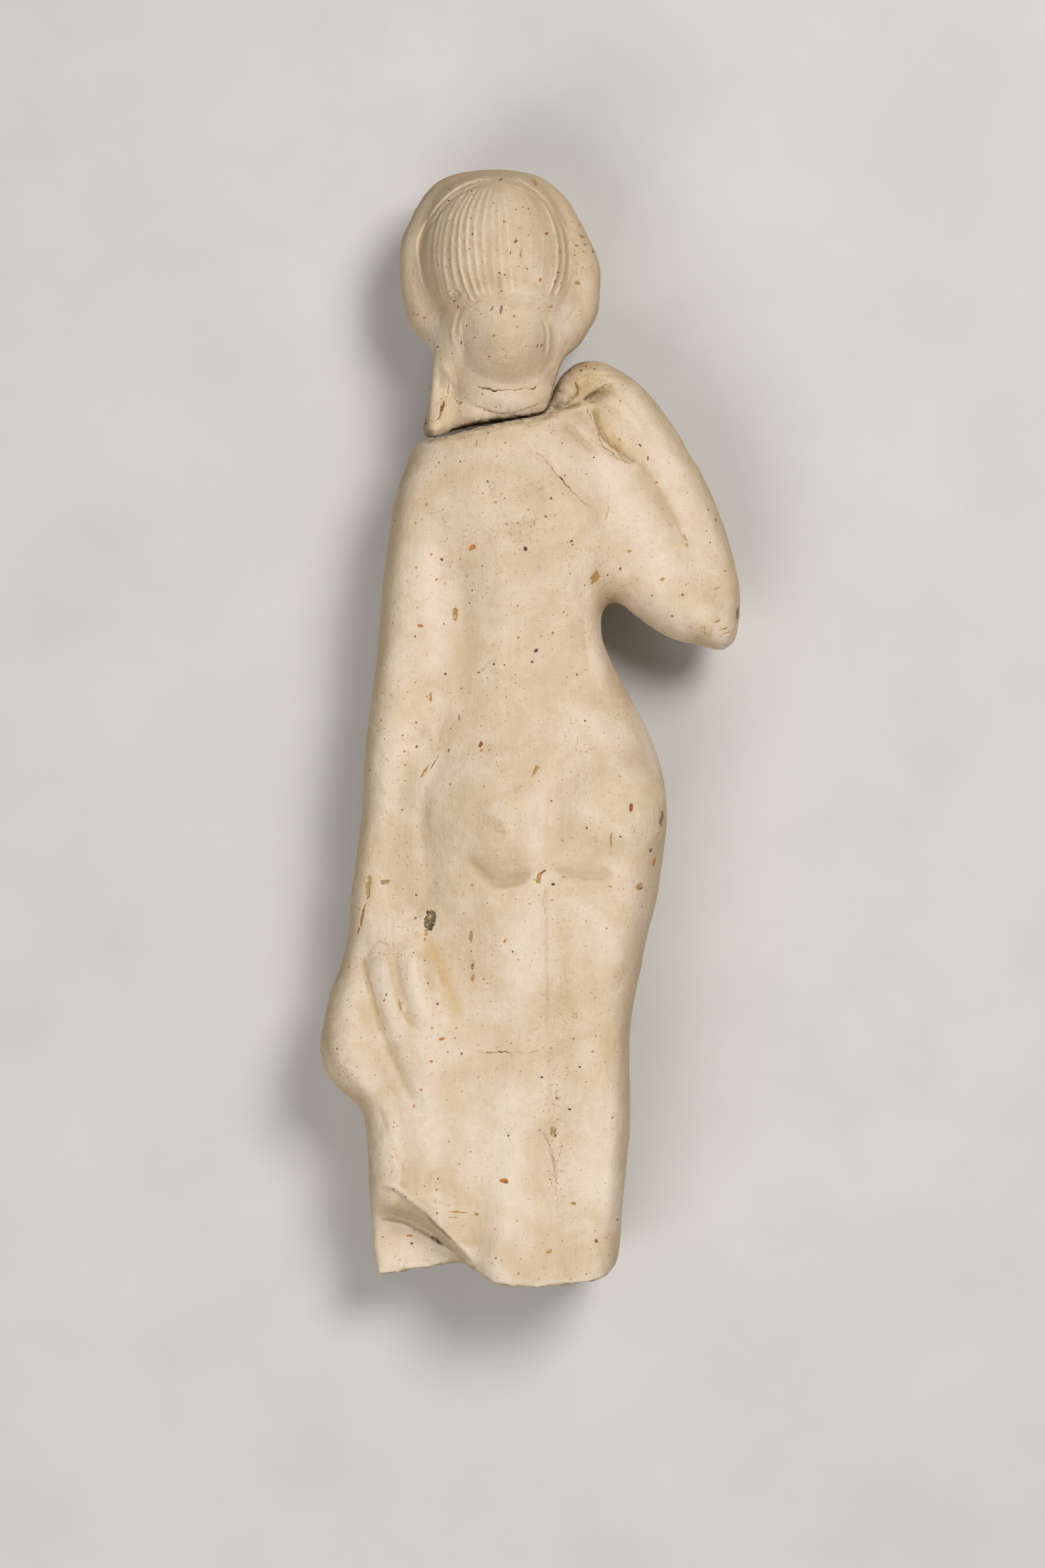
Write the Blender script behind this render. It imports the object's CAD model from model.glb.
# %% [markdown]
# # A broken pipeclay figurine, lying on its front
#
# The real object is a hollow figurine of white clay, pressed in a two-part mould and fired. Its head has
# snapped off and lies at the shoulders, its feet are gone, and we look straight down on its back. The CAD
# frame already has the true outline and the main forms, as two solids: body and head. This lesson turns
# each of them into worn clay: smooth where the mould left it smooth, ragged where it broke, and dirty in
# the creases. Lengths are in millimetres unless a line says otherwise.

import bmesh
import bpy
import numpy as np
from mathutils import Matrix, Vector, noise
from mathutils.bvhtree import BVHTree


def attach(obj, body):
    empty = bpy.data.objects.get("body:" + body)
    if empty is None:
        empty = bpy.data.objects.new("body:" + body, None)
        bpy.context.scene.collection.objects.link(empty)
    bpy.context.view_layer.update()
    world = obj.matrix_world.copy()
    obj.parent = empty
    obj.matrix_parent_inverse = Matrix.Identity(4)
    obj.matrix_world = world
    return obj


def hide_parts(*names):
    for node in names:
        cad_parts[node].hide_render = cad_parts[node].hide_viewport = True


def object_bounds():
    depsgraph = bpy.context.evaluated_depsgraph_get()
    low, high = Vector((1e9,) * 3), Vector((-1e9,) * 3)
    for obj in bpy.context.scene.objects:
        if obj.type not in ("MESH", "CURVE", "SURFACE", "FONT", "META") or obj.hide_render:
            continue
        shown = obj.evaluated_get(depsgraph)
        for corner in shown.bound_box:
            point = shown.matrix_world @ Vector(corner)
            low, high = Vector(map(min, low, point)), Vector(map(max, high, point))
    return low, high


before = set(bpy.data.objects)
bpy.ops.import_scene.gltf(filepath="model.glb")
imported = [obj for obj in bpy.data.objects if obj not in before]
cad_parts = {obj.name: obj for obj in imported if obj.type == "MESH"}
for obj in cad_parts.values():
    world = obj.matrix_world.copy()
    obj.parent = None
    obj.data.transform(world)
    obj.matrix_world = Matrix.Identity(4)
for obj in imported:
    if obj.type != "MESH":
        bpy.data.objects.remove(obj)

MM = 0.001
cad_box = [list(corner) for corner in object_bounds()]
print("CAD box, mm:", [[round(v / MM, 2) for v in corner] for corner in cad_box])

# %% [markdown]
# ## The view and the light
#
# The camera comes first, so that every later step can be judged in its frame. It hangs straight above the
# back with a long lens. Its frame takes in 225.8 mm along the long side, measured at the height of the widest
# outline, and the distance follows from that and the lens.

# %% Camera straight above the back
LENS = 120.0
SENSOR = 36.0
FRAME_LENGTH = 225.8 * MM
OUTLINE_HEIGHT = 14.0 * MM

lens = bpy.data.cameras.new("overhead")
lens.lens = LENS
lens.sensor_width = SENSOR
lens.clip_start = 0.05
overhead = bpy.data.objects.new("overhead", lens)
overhead.location = (-1.056 * MM, -8.256 * MM, OUTLINE_HEIGHT + FRAME_LENGTH * LENS / SENSOR)
bpy.context.scene.collection.objects.link(overhead)
bpy.context.scene.camera = overhead
print("camera height, mm:", round(overhead.location.z / MM, 1))

# %% [markdown]
# Clay this matt shows its form through shading alone. A soft key, high on the upper right, gives the lit
# flanks and the gentle shade at the lower left. A wide fill at the lower left keeps that shade open, and a
# dim pale world lifts the rest. Plain area lights do this with nothing to hide from other views.

# %% Softboxes and a pale world
def softbox(name, place, aim, width, watts, colour):
    """A square area light at place, turned to face aim. Lengths are in metres."""
    lamp = bpy.data.lights.new(name, "AREA")
    lamp.size = width
    lamp.energy = watts
    lamp.color = colour
    box = bpy.data.objects.new(name, lamp)
    box.location = place
    box.rotation_euler = (Vector(aim) - Vector(place)).to_track_quat("-Z", "Y").to_euler()
    bpy.context.scene.collection.objects.link(box)


softbox("key", (0.30, 0.30, 0.72), (0, 0, 0.01), 0.30, 5.0, (1.0, 0.97, 0.92))
softbox("fill", (-0.28, -0.42, 0.60), (0, 0, 0.01), 0.50, 2.8, (1.0, 0.97, 0.92))
room = bpy.data.worlds.new("room")
room.use_nodes = True
room.node_tree.nodes["Background"].inputs["Color"].default_value = (1.0, 0.96, 0.90, 1)
room.node_tree.nodes["Background"].inputs["Strength"].default_value = 0.15
bpy.context.scene.world = room
bpy.context.scene.view_settings.view_transform = "Standard"

# %% [markdown]
# ## Recipes for procedural colour
#
# Every finish here is built from the same few moves: a noise, a ramp, a mix, a sum. A small recipe class
# names those moves, so that a material reads like a list of layers. All patterns sit on Object coordinates.
# The pieces stay at the origin, unscaled, so a scale of 1000 is one pattern cell to the millimetre.

# %% A class for node recipes
class Recipe:
    """A node material under construction. Each method adds one node and returns its output socket."""

    def __init__(self, name):
        self.material = bpy.data.materials.new(name)
        self.material.use_nodes = True
        self.tree = self.material.node_tree
        self.tree.nodes.clear()
        self.surface = self.add("ShaderNodeBsdfPrincipled")
        output = self.add("ShaderNodeOutputMaterial")
        self.tree.links.new(self.surface.outputs["BSDF"], output.inputs["Surface"])
        self.place = self.add("ShaderNodeTexCoord").outputs["Object"]

    def add(self, kind, **settings):
        made = self.tree.nodes.new(kind)
        for key, value in settings.items():
            setattr(made, key, value)
        return made

    def feed(self, socket, value):
        """Links a socket, or sets its value where a plain number or colour is given."""
        if isinstance(value, bpy.types.NodeSocket):
            self.tree.links.new(value, socket)
        elif isinstance(value, tuple) and len(value) == 3 and socket.type == "RGBA":
            socket.default_value = (*value, 1)
        else:
            socket.default_value = value

    def stretched(self, scale, turn=0.0):
        """Object coordinates, turned about Z by turn degrees and squeezed along each axis by scale."""
        mapping = self.add("ShaderNodeMapping")
        self.feed(mapping.inputs["Vector"], self.place)
        mapping.inputs["Scale"].default_value = scale
        if turn:
            turned = self.add("ShaderNodeMapping")
            turned.inputs["Rotation"].default_value = (0, 0, np.radians(turn))
            self.feed(turned.inputs["Vector"], self.place)
            self.feed(mapping.inputs["Vector"], turned.outputs["Vector"])
        return mapping.outputs["Vector"]

    def noise(self, scale, detail=3.0, roughness=0.55, distortion=0.0, where=None):
        made = self.add("ShaderNodeTexNoise")
        self.feed(made.inputs["Vector"], where or self.place)
        made.inputs["Scale"].default_value = scale
        made.inputs["Detail"].default_value = detail
        made.inputs["Roughness"].default_value = roughness
        made.inputs["Distortion"].default_value = distortion
        return made.outputs["Fac"]

    def attribute(self, name, output="Fac"):
        return self.add("ShaderNodeAttribute", attribute_name=name).outputs[output]

    def maths(self, operation, first, second=0.5, clamp=False):
        made = self.add("ShaderNodeMath", operation=operation, use_clamp=clamp)
        self.feed(made.inputs[0], first)
        self.feed(made.inputs[1], second)
        return made.outputs[0]

    def span(self, value, low, high, bottom=0.0, top=1.0):
        """Turns low..high into bottom..top, with soft ends."""
        made = self.add("ShaderNodeMapRange", interpolation_type="SMOOTHSTEP")
        for socket, number in zip(made.inputs, (value, low, high, bottom, top)):
            self.feed(socket, number)
        return made.outputs["Result"]

    def mix(self, amount, under, over, blend="MIX"):
        made = self.add("ShaderNodeMix", data_type="RGBA", blend_type=blend)
        self.feed(made.inputs[0], amount)
        self.feed(made.inputs[6], under)
        self.feed(made.inputs[7], over)
        return made.outputs[2]

    def bump(self, height, depth_mm, strength=1.0, under=None):
        made = self.add("ShaderNodeBump")
        made.inputs["Strength"].default_value = strength
        made.inputs["Distance"].default_value = depth_mm * MM
        self.feed(made.inputs["Height"], height)
        if under is not None:
            self.feed(made.inputs["Normal"], under)
        return made.outputs["Normal"]


print("recipe moves:", [name for name in vars(Recipe) if not name.startswith("_")])

# %% [markdown]
# The floor is stage, not object: one pale matt sheet. It is a grid from a single operator, with a faint
# mottle so that it does not look like a hole in the picture.

# %% Pale floor
FLOOR_REACH = 1.5

floor_mesh = bpy.data.meshes.new("floor")
bm = bmesh.new()
bmesh.ops.create_grid(bm, x_segments=1, y_segments=1, size=FLOOR_REACH)
bm.to_mesh(floor_mesh)
bm.free()
floor = bpy.data.objects.new("floor", floor_mesh)
bpy.context.scene.collection.objects.link(floor)

paper = Recipe("pale_paper")
paper_tone = paper.mix(paper.span(paper.noise(40, 4), 0.3, 0.7), (0.60, 0.60, 0.595), (0.64, 0.64, 0.635))
paper.feed(paper.surface.inputs["Base Color"], paper_tone)
paper.surface.inputs["Roughness"].default_value = 0.9
floor_mesh.materials.append(paper.material)
print("floor:", floor_mesh.materials[0].name)

# %% [markdown]
# ## From facets to a clay skin
#
# The CAD solids are cut down to a few thousand flat triangles. Real pressed clay has none. A voxel remesh
# gives an even skin of small quads, and averaging each point with its neighbours melts the facets away. Plain
# averaging also shrinks a shape, so what it removed is averaged too and handed back. That keeps the outline.

# %% Copy a solid, merge it and lay an even skin over it
def skinned(node, name, cell):
    """A new object with an even voxel skin over a merged copy of the CAD node. Cell is in millimetres."""
    mesh = bpy.data.meshes.new(name)
    bm = bmesh.new()
    bm.from_mesh(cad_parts[node].data)
    bmesh.ops.remove_doubles(bm, verts=bm.verts, dist=1e-6)
    bm.to_mesh(mesh)
    bm.free()
    piece = bpy.data.objects.new(name, mesh)
    bpy.context.scene.collection.objects.link(piece)
    remesh = piece.modifiers.new("even skin", "REMESH")
    remesh.mode = "VOXEL"
    remesh.voxel_size = cell * MM
    graph = bpy.context.evaluated_depsgraph_get()
    even = bpy.data.meshes.new_from_object(piece.evaluated_get(graph))
    piece.modifiers.clear()
    piece.data = even
    bpy.data.meshes.remove(mesh)
    even.name = name
    even.materials.clear()
    even.shade_smooth()
    return piece


# %% The clay's points as arrays, with a softening tool
def ease(low, high, value):
    """0 below low, 1 above high, and a smooth step between."""
    t = np.clip((value - low) / (high - low), 0, 1)
    return t * t * (3 - 2 * t)


class Clay:
    """A piece's points in millimetres, with the tools that work them."""

    def __init__(self, piece):
        self.piece = piece
        self.read()

    def read(self):
        mesh = self.piece.data
        count = len(mesh.vertices)
        flat = np.empty(count * 3)
        mesh.vertices.foreach_get("co", flat)
        self.at = flat.reshape(-1, 3) / MM
        flat = np.empty(count * 3, np.float32)
        mesh.vertex_normals.foreach_get("vector", flat)
        self.out = flat.reshape(-1, 3).astype(float)
        ends = np.empty(len(mesh.edges) * 2, np.int32)
        mesh.edges.foreach_get("vertices", ends)
        self.edges = ends.reshape(-1, 2)
        self.valence = np.bincount(ends, minlength=count)

    @property
    def plan(self):
        """Where the camera sees each point, measured at the height of the outline."""
        eye = np.array(overhead.location) / MM
        reach = (eye[2] - OUTLINE_HEIGHT / MM) / (eye[2] - self.at[:, 2])
        return eye[:2] + (self.at[:, :2] - eye[:2]) * reach[:, None]

    def write(self):
        """Sets the points, with none under the floor or outside the CAD box."""
        low, high = (np.array(corner) / MM for corner in cad_box)
        self.at = np.clip(self.at, low, high)
        self.piece.data.vertices.foreach_set("co", (self.at * MM).astype(np.float32).ravel())
        self.piece.data.update()
        self.read()

    def spread(self, values, rounds, hold=1.0):
        """Averages values with the neighbours' values. Hold is 0 where a value stays as it is."""
        a, b = self.edges.T
        flat = values.ndim == 1
        values = values.reshape(len(values), -1).copy()
        hold = np.broadcast_to(hold, len(values))[:, None]
        for _ in range(rounds):
            total = np.empty_like(values)
            for k in range(values.shape[1]):
                column = values[:, k]
                total[:, k] = np.bincount(a, column[b], len(values)) + np.bincount(b, column[a], len(values))
            values += 0.5 * hold * (total / self.valence[:, None] - values)
        return values[:, 0] if flat else values

    def melt(self, rounds, hold=1.0):
        """Melts the facets, then hands back the size that the averaging took."""
        melted = self.spread(self.at, rounds, hold)
        self.at = melted + self.spread(self.at - melted, rounds, hold)


BODY_CELL = 0.70
HEAD_CELL = 0.42
body_clay = skinned("body", "body_clay", BODY_CELL)
head_clay = skinned("head", "head_clay", HEAD_CELL)
body, head = Clay(body_clay), Clay(head_clay)
print("skin points:", len(body.at), "body,", len(head.at), "head")

# %% [markdown]
# Breaks must stay crisp while the rest melts. Each point gets a hold value: 0 at a fracture, 1 on the worn
# skin. A fracture is found by where it is and by which way it faces.
#
# A faceted solid draws some broad forms harder than a worn mould would. Where a hollow or a ridge is too
# strong, its heights are evened over an ellipse. Where the skin lies too low, it is lifted. The bun has steep
# sides that neither can soften, so the skin is stretched straight across it, as over a drum, and the bun is
# raised again as a low round mound.

# %% Find the fractures and melt the rest
def body_breaks(clay):
    """1 on the neck break and on the leg break, fading out over about a millimetre."""
    x, y, _ = clay.at.T
    neck = ease(0.25, 0.6, clay.out[:, 1]) * ease(40.0, 41.2, y) * ease(-16.5, -15.0, x) * ease(5.2, 3.6, x)
    legs = ease(0.35, 0.7, -clay.out[:, 1]) * ease(-75.5, -77.5, y)
    return np.maximum(neck, legs)


def head_breaks(clay):
    """1 on the ragged underside of the neck."""
    x, y, _ = clay.at.T
    return ease(0.3, 0.65, -clay.out[:, 1]) * ease(47.6, 46.2, y) * ease(5.0, 4.0, x)


def even_out(clay, centre, radii, rounds, share, turn=0.0, steep=0.25):
    """Evens the heights over an ellipse in plan, so that broad hollows fill and broad ridges sink."""
    a = np.radians(turn)
    off = clay.plan - np.array(centre)
    u = (off[:, 0] * np.cos(a) + off[:, 1] * np.sin(a)) / radii[0]
    v = (off[:, 1] * np.cos(a) - off[:, 0] * np.sin(a)) / radii[1]
    up = ease(steep, steep + 0.3, clay.out[:, 2])
    level = clay.spread(clay.at[:, 2], rounds, up)
    clay.at[:, 2] += (level - clay.at[:, 2]) * share * ease(1.0, 0.4, np.hypot(u, v)) * up


def lifted(clay, centre, radii, height, turn=0.0, edge=1.4):
    """Raises or lowers the clay over an ellipse in plan, steep walls too, so that the outline stays."""
    a = np.radians(turn)
    off = clay.plan - np.array(centre)
    u = (off[:, 0] * np.cos(a) + off[:, 1] * np.sin(a)) / radii[0]
    v = (off[:, 1] * np.cos(a) - off[:, 0] * np.sin(a)) / radii[1]
    clay.at[:, 2] += height * np.clip(1 - u * u - v * v, 0, 1) ** edge * ease(-0.2, 0.15, clay.out[:, 2])


def bridged(clay, centre, radii, above, rounds):
    """Stretches the skin straight across a rounded patch in plan, so that a form in it goes."""
    off = np.abs(clay.plan - np.array(centre)) / np.array(radii)
    inside = ((off**2.4).sum(axis=1) < 1) & (clay.out[:, 2] > -0.75) & (clay.at[:, 2] > above)
    clay.at = clay.spread(clay.at, rounds, inside.astype(float))
    clay.write()


# Each lift: centre, radii, height, turn in degrees, edge (more is softer)
BODY_LIFTS = [
    ((-14.0, -50.0), (11.0, 36.0), 0.9, 0, 1.4),
    ((-25.5, -46.0), (5.0, 9.0), 0.5, 0, 1.2),
    ((13.4, 43.4), (6.0, 2.4), 0.7, -57, 1.2),
    ((20.5, 16.4), (11.0, 5.2), 0.8, -28, 1.6),
    ((10.4, 12.0), (2.6, 9.0), 0.9, 8, 1.2),
    ((-21.5, -62.0), (3.5, 11.0), 0.9, 0, 1.2),
    ((-17.5, -13.0), (5.0, 14.0), 1.0, 0, 1.3),
    ((12.8, -68.0), (3.0, 14.0), 0.8, 0, 1.2),
    ((27.5, 14.5), (5.0, 5.0), 0.6, 0, 1.2),
]
HEAD_LIFTS = [
    ((-3.9, 55.0), (11.0, 9.5), 2.4, 0, 1.0),
    ((5.4, 56.0), (3.2, 7.0), 0.8, 0, 1.2),
    ((-12.6, 55.0), (3.2, 7.0), 0.8, 0, 1.2),
    ((-3.1, 55.0), (7.0, 5.7), 1.8, 0, 1.4),
]
# Each evening: centre, radii, rounds, share, turn in degrees, the steepest wall that still counts
EVENED = [
    ((1.0, -50.0), (14.0, 34.0), 130, 0.85, 0, 0.25),
    ((-8.0, -52.0), (6.5, 30.0), 240, 1.00, 0, 0.0),
    ((-16.0, -46.0), (8.0, 20.0), 60, 0.70, 0, 0.25),
    ((-19.5, -61.0), (5.5, 9.0), 120, 0.80, 0, 0.15),
    ((-17.0, -73.0), (7.0, 6.0), 40, 0.60, 0, 0.25),
    ((-9.0, 14.0), (6.0, 24.0), 140, 0.80, 0, 0.0),
    ((-12.5, -14.0), (10.0, 24.0), 400, 0.90, -6, -0.2),
    ((-10.5, -33.0), (6.5, 13.0), 240, 1.00, 0, 0.0),
    ((-5.0, -5.0), (13.0, 8.0), 160, 0.90, 0, 0.0),
    ((0.0, -17.0), (13.0, 8.0), 60, 0.40, 0, 0.0),
    ((0.5, 22.0), (12.0, 16.0), 60, 0.50, 0, 0.25),
    ((15.0, 22.0), (8.0, 6.0), 60, 0.40, 0, 0.25),
    ((12.0, 41.8), (4.0, 7.5), 120, 0.85, 35, 0.25),
]
MELT_ROUNDS = 26
BUN = (-3.9, 54.8)
body.melt(MELT_ROUNDS, 1 - 0.85 * body_breaks(body))
for centre, radii, rounds, share, turn, steep in EVENED:
    even_out(body, centre, radii, rounds, share, turn, steep)
for centre, radii, height, turn, edge in BODY_LIFTS:
    lifted(body, centre, radii, height, turn, edge)
body.write()
head.melt(MELT_ROUNDS, 1 - 0.45 * head_breaks(head))
even_out(head, (-4.0, 61.0), (12.0, 7.0), 120, 0.85, 0, 0.0)
bridged(head, BUN, (9.5, 7.7), 17.6, 2000)
even_out(head, (-3.9, 54.7), (13.0, 10.5), 30, 1.0, 0, 0.1)
for centre, radii, height, turn, edge in HEAD_LIFTS:
    lifted(head, centre, radii, height, turn, edge)
head.write()
print("melted; body outline now", np.round(np.ptp(body.at, axis=0), 2), "mm")

# %% [markdown]
# ## A finer skin where the camera looks
#
# The back needs four times the points of the hollow or the front. Subdividing just the faces that the sky
# can see from above keeps the piece light. A ray from each point tells which ones those are.

# %% Rays that find the open back, and faces split where asked
def tree_of(piece):
    return BVHTree.FromObject(piece, bpy.context.evaluated_depsgraph_get())


def under_open_sky(clay):
    """1 where nothing of the piece lies above a point that faces up."""
    tree = tree_of(clay.piece)
    seen = np.zeros(len(clay.at))
    for i in np.flatnonzero(clay.out[:, 2] > 0.02):
        start = Vector((clay.at[i] + 0.05 * clay.out[i]) * MM)
        seen[i] = tree.ray_cast(start, Vector((0, 0, 1)))[0] is None
    return seen


def split_faces(clay, wanted):
    """Subdivides once the faces that have every corner wanted."""
    bm = bmesh.new()
    bm.from_mesh(clay.piece.data)
    whole = {face for face in bm.faces if all(wanted[v.index] for v in face.verts)}
    chosen = [edge for edge in bm.edges if any(face in whole for face in edge.link_faces)]
    bmesh.ops.subdivide_edges(bm, edges=chosen, cuts=1, use_grid_fill=True)
    bm.to_mesh(clay.piece.data)
    bm.free()
    clay.piece.data.update()
    clay.read()


for clay in (body, head):
    split_faces(clay, under_open_sky(clay) > 0.5)
    clay.melt(3, 1 - 0.7 * (body_breaks(clay) if clay is body else head_breaks(clay)))
    clay.write()
print("points after the split:", len(body.at), "body,", len(head.at), "head")

# %% [markdown]
# ## Modelling tools
#
# Folds, strands and cracks are all the same gesture: a tool drawn along a line. Each is a smooth curve
# through a few places, seen in plan, and the skin sinks or rises by its distance from that curve. Swells are
# the pat of a thumb: an ellipse in plan that rises or dips.

# %% Curves in plan, and the tools drawn along them
def traced(points, step=0.5):
    """Places about a step apart along a smooth curve through the points, in millimetres."""
    p = np.array(points, float)
    p = np.vstack([2 * p[0] - p[1], p, 2 * p[-1] - p[-2]])
    line = []
    for a, b, c, d in zip(p[:-3], p[1:-2], p[2:-1], p[3:]):
        t = np.linspace(0, 1, max(2, int(np.hypot(*(c - b)) / step) + 1))[:-1, None]
        curve = 2 * b + (c - a) * t + (2 * a - 5 * b + 4 * c - d) * t**2 + (3 * b - a - 3 * c + d) * t**3
        line.append(curve / 2)
    return np.vstack([*line, p[-2:-1]])


def jagged(points, wander, seed, step=0.3):
    """A traced line that wanders from side to side, as a crack does."""
    line = traced(points, step)
    for i, place in enumerate(line[1:-1], 1):
        line[i] += wander * np.array(noise.noise_vector(Vector((*place * 1.7, seed)))[:2])
    return line


def measured(clay, line, reach):
    """Points near the line in plan: indices, distance, share of the way along, 1 on its left or -1."""
    low, high = line.min(0) - reach, line.max(0) + reach
    plan = clay.plan
    near = np.flatnonzero(((plan > low) & (plan < high)).all(1) & (clay.facing > 0))
    plan = plan[near]
    best, share, side = np.full(len(near), 1e9), np.zeros(len(near)), np.ones(len(near))
    for i, (a, b) in enumerate(zip(line[:-1], line[1:])):
        d = b - a
        t = np.clip(((plan - a) @ d) / max(d @ d, 1e-12), 0, 1)
        off = plan - a - t[:, None] * d
        away = np.hypot(*off.T)
        closer = away < best
        best[closer] = away[closer]
        share[closer] = ((i + t) / (len(line) - 1))[closer]
        side[closer] = np.sign(d[0] * off[:, 1] - d[1] * off[:, 0])[closer]
    kept = best < reach
    return near[kept], best[kept], share[kept], side[kept]


def draw(clay, points, width, depth, fade=0.15, worn=0.0):
    """Draws a tool along the points: a groove so wide and deep, or a ridge where depth is negative."""
    near, away, share, _ = measured(clay, traced(points), 3 * width)
    ends = ease(0, fade, share) * ease(0, fade, 1 - share)
    x, y = 1.1 * clay.plan[near].T
    patchy = np.sin(1.7 * x + 0.9 * y) * np.sin(0.8 * x - 1.3 * y + 2 * np.sin(0.7 * y))
    ends = ends * (1 - worn * (0.5 + 0.5 * patchy))
    clay.at[near, 2] -= depth * np.exp(-((away / width) ** 2)) * ends * clay.facing[near]


def step_down(clay, points, depth, run, low_side, fade=0.15, edge=0.25):
    """Sinks one side of the line by depth at a crisp edge, easing back over run. 1 is its left side."""
    near, away, share, side = measured(clay, traced(points), 4 * run)
    ends = ease(0, fade, share) * ease(0, fade, 1 - share)
    across = away * side * low_side
    amount = ease(-edge, edge, across) * np.exp(-np.maximum(across, 0) / run)
    clay.at[near, 2] -= depth * amount * ends * clay.facing[near]


def swell(clay, centre, radii, height, turn=0.0, edge=2.0):
    """Pats a mound over an ellipse in plan, or a hollow where height is negative."""
    a = np.radians(turn)
    off = clay.plan - np.array(centre)
    u = (off[:, 0] * np.cos(a) + off[:, 1] * np.sin(a)) / radii[0]
    v = (off[:, 1] * np.cos(a) - off[:, 0] * np.sin(a)) / radii[1]
    clay.at[:, 2] += height * np.clip(1 - u * u - v * v, 0, 1) ** edge * clay.facing


def face_up(clay):
    """Refreshes how far each point takes the tools: 1 on the open back, 0 past the outline."""
    clay.facing = clay.spread(under_open_sky(clay), 2) * ease(0.05, 0.45, clay.out[:, 2])


for clay in (body, head):
    face_up(clay)
print("points that take the tools:", int((body.facing > 0).sum()), int((head.facing > 0).sum()))

# %% [markdown]
# ## The back and its drapery
#
# The melt took the edge off the narrow forms and left the broad ones. What it left too deep is filled with
# a wide ridge, and what it took is drawn again, finer than in the solids: the cleft, the folds under the
# seat, the round of the hip, and the cloth that falls from the hand.

# %% Grooves of the trunk and legs
# Each line: places, width, depth (a ridge where negative), the share of its length that fades at each end
TRUNK_LINES = [
    ([(2.7, -1), (2.8, -8), (2.6, -14), (2.2, -20.0)], 1.7, -0.30, 0.2),
    ([(2.9, -4), (2.7, -10), (2.4, -16), (1.9, -20.6)], 0.30, 0.04, 0.3),
    ([(-9.2, -19.2), (-6.8, -21.9), (-4.6, -22.9), (-2.4, -22.7), (-0.2, -21.9), (1.8, -20.8)],
         0.45, 0.10, 0.3),
    ([(2.6, -20.4), (4.7, -21.4), (7.3, -21.9), (10.8, -21.9), (12.8, -21.4)], 0.45, 0.09, 0.3),
    ([(12.9, -18.6), (12.9, -20.8)], 0.4, 0.05, 0.3),
    ([(1.9, -20.4), (1.4, -21.4), (1.2, -23.0)], 0.5, 0.18, 0.3),
    ([(2.3, -22), (2.5, -35), (2.3, -50), (2.8, -62), (3.2, -74)], 0.30, 0.035, 0.2),
    ([(3.4, -23), (4.0, -35), (4.2, -50), (4.6, -62), (5.0, -74)], 1.6, 0.05, 0.2),
]
for points, width, depth, fade in TRUNK_LINES:
    draw(body, points, width, depth, fade)
SEAT_LEFT = [(-9.8, -18.4), (-6.8, -21.7), (-4.6, -22.8), (-2.4, -22.5), (-0.2, -21.7), (1.9, -20.4)]
SEAT_RIGHT = [(2.4, -20.0), (4.6, -21.2), (7.3, -21.8), (10.8, -21.8), (13.4, -21.0)]
HIP_EDGE = [(-15.2, -7.5), (-15.8, -10.5), (-16.0, -14.5), (-15.7, -19.0), (-15.0, -23.4), (-14.2, -27.0)]
step_down(body, SEAT_LEFT, 0.80, 2.8, 1, 0.3, 0.7)
step_down(body, SEAT_RIGHT, 0.55, 2.4, 1, 0.3, 0.6)
step_down(body, HIP_EDGE, 0.25, 4.5, 1, 0.4, 0.8)
print("trunk lines drawn:", len(TRUNK_LINES))

# %% Folds that fan out from the hand
CLOTH_LINES = [
    ([(-24.0, -32), (-23.2, -37), (-21.4, -43), (-19.8, -47.3), (-18.2, -51), (-16.2, -55),
         (-12.4, -56.8)], 0.7, 0.22, 0.2),
    ([(-19.4, -32.0), (-18.9, -35.5), (-18.4, -39.0), (-17.4, -41.9), (-15.2, -44.4)], 0.6, 0.20, 0.2),
    ([(-17.2, -31), (-16.7, -35), (-16.2, -39), (-14.2, -43.6)], 1.2, -0.34, 0.3),
    ([(-21.4, -31), (-20.8, -36), (-19.8, -41.0), (-18.4, -45)], 1.2, -0.30, 0.3),
    ([(-15.8, -31), (-14.6, -35), (-13.4, -39)], 1.2, 0.20, 0.3),
    ([(-20.6, -46.8), (-18.6, -52.0), (-16.0, -56.2), (-13.0, -57.8)], 0.8, -0.10, 0.3),
    ([(-21.6, -54.5), (-20.3, -59.0), (-18.8, -62.7), (-17.8, -64.8)], 0.5, 0.14, 0.2),
    ([(-20.9, -57.6), (-19.8, -60.4), (-19.2, -62.7), (-18.4, -64.6)], 0.45, -0.12, 0.3),
    ([(-14.9, -67.6), (-13.2, -68.6), (-9.9, -69.2)], 0.25, 0.10, 0.3),
    ([(-9.2, -57), (-9.3, -62), (-9.3, -67)], 0.25, 0.05, 0.3),
    ([(-23.4, -34.0), (-22.9, -32.2), (-21.9, -31.1), (-20.7, -31.2), (-19.6, -32.6)], 0.35, 0.10, 0.3),
    ([(-18.2, -36.0), (-17.9, -33.9), (-17.1, -32.8), (-15.9, -32.7), (-14.9, -33.8)], 0.35, 0.10, 0.3),
]
for points, width, depth, fade in CLOTH_LINES:
    draw(body, points, width, depth, fade)
print("cloth lines drawn:", len(CLOTH_LINES))

# %% [markdown]
# The lower left corner has a slanting step, where the back half of the mould ends above the front half. A
# step tool sinks one side of a line and leaves a crisp edge, which a groove cannot do.

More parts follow.
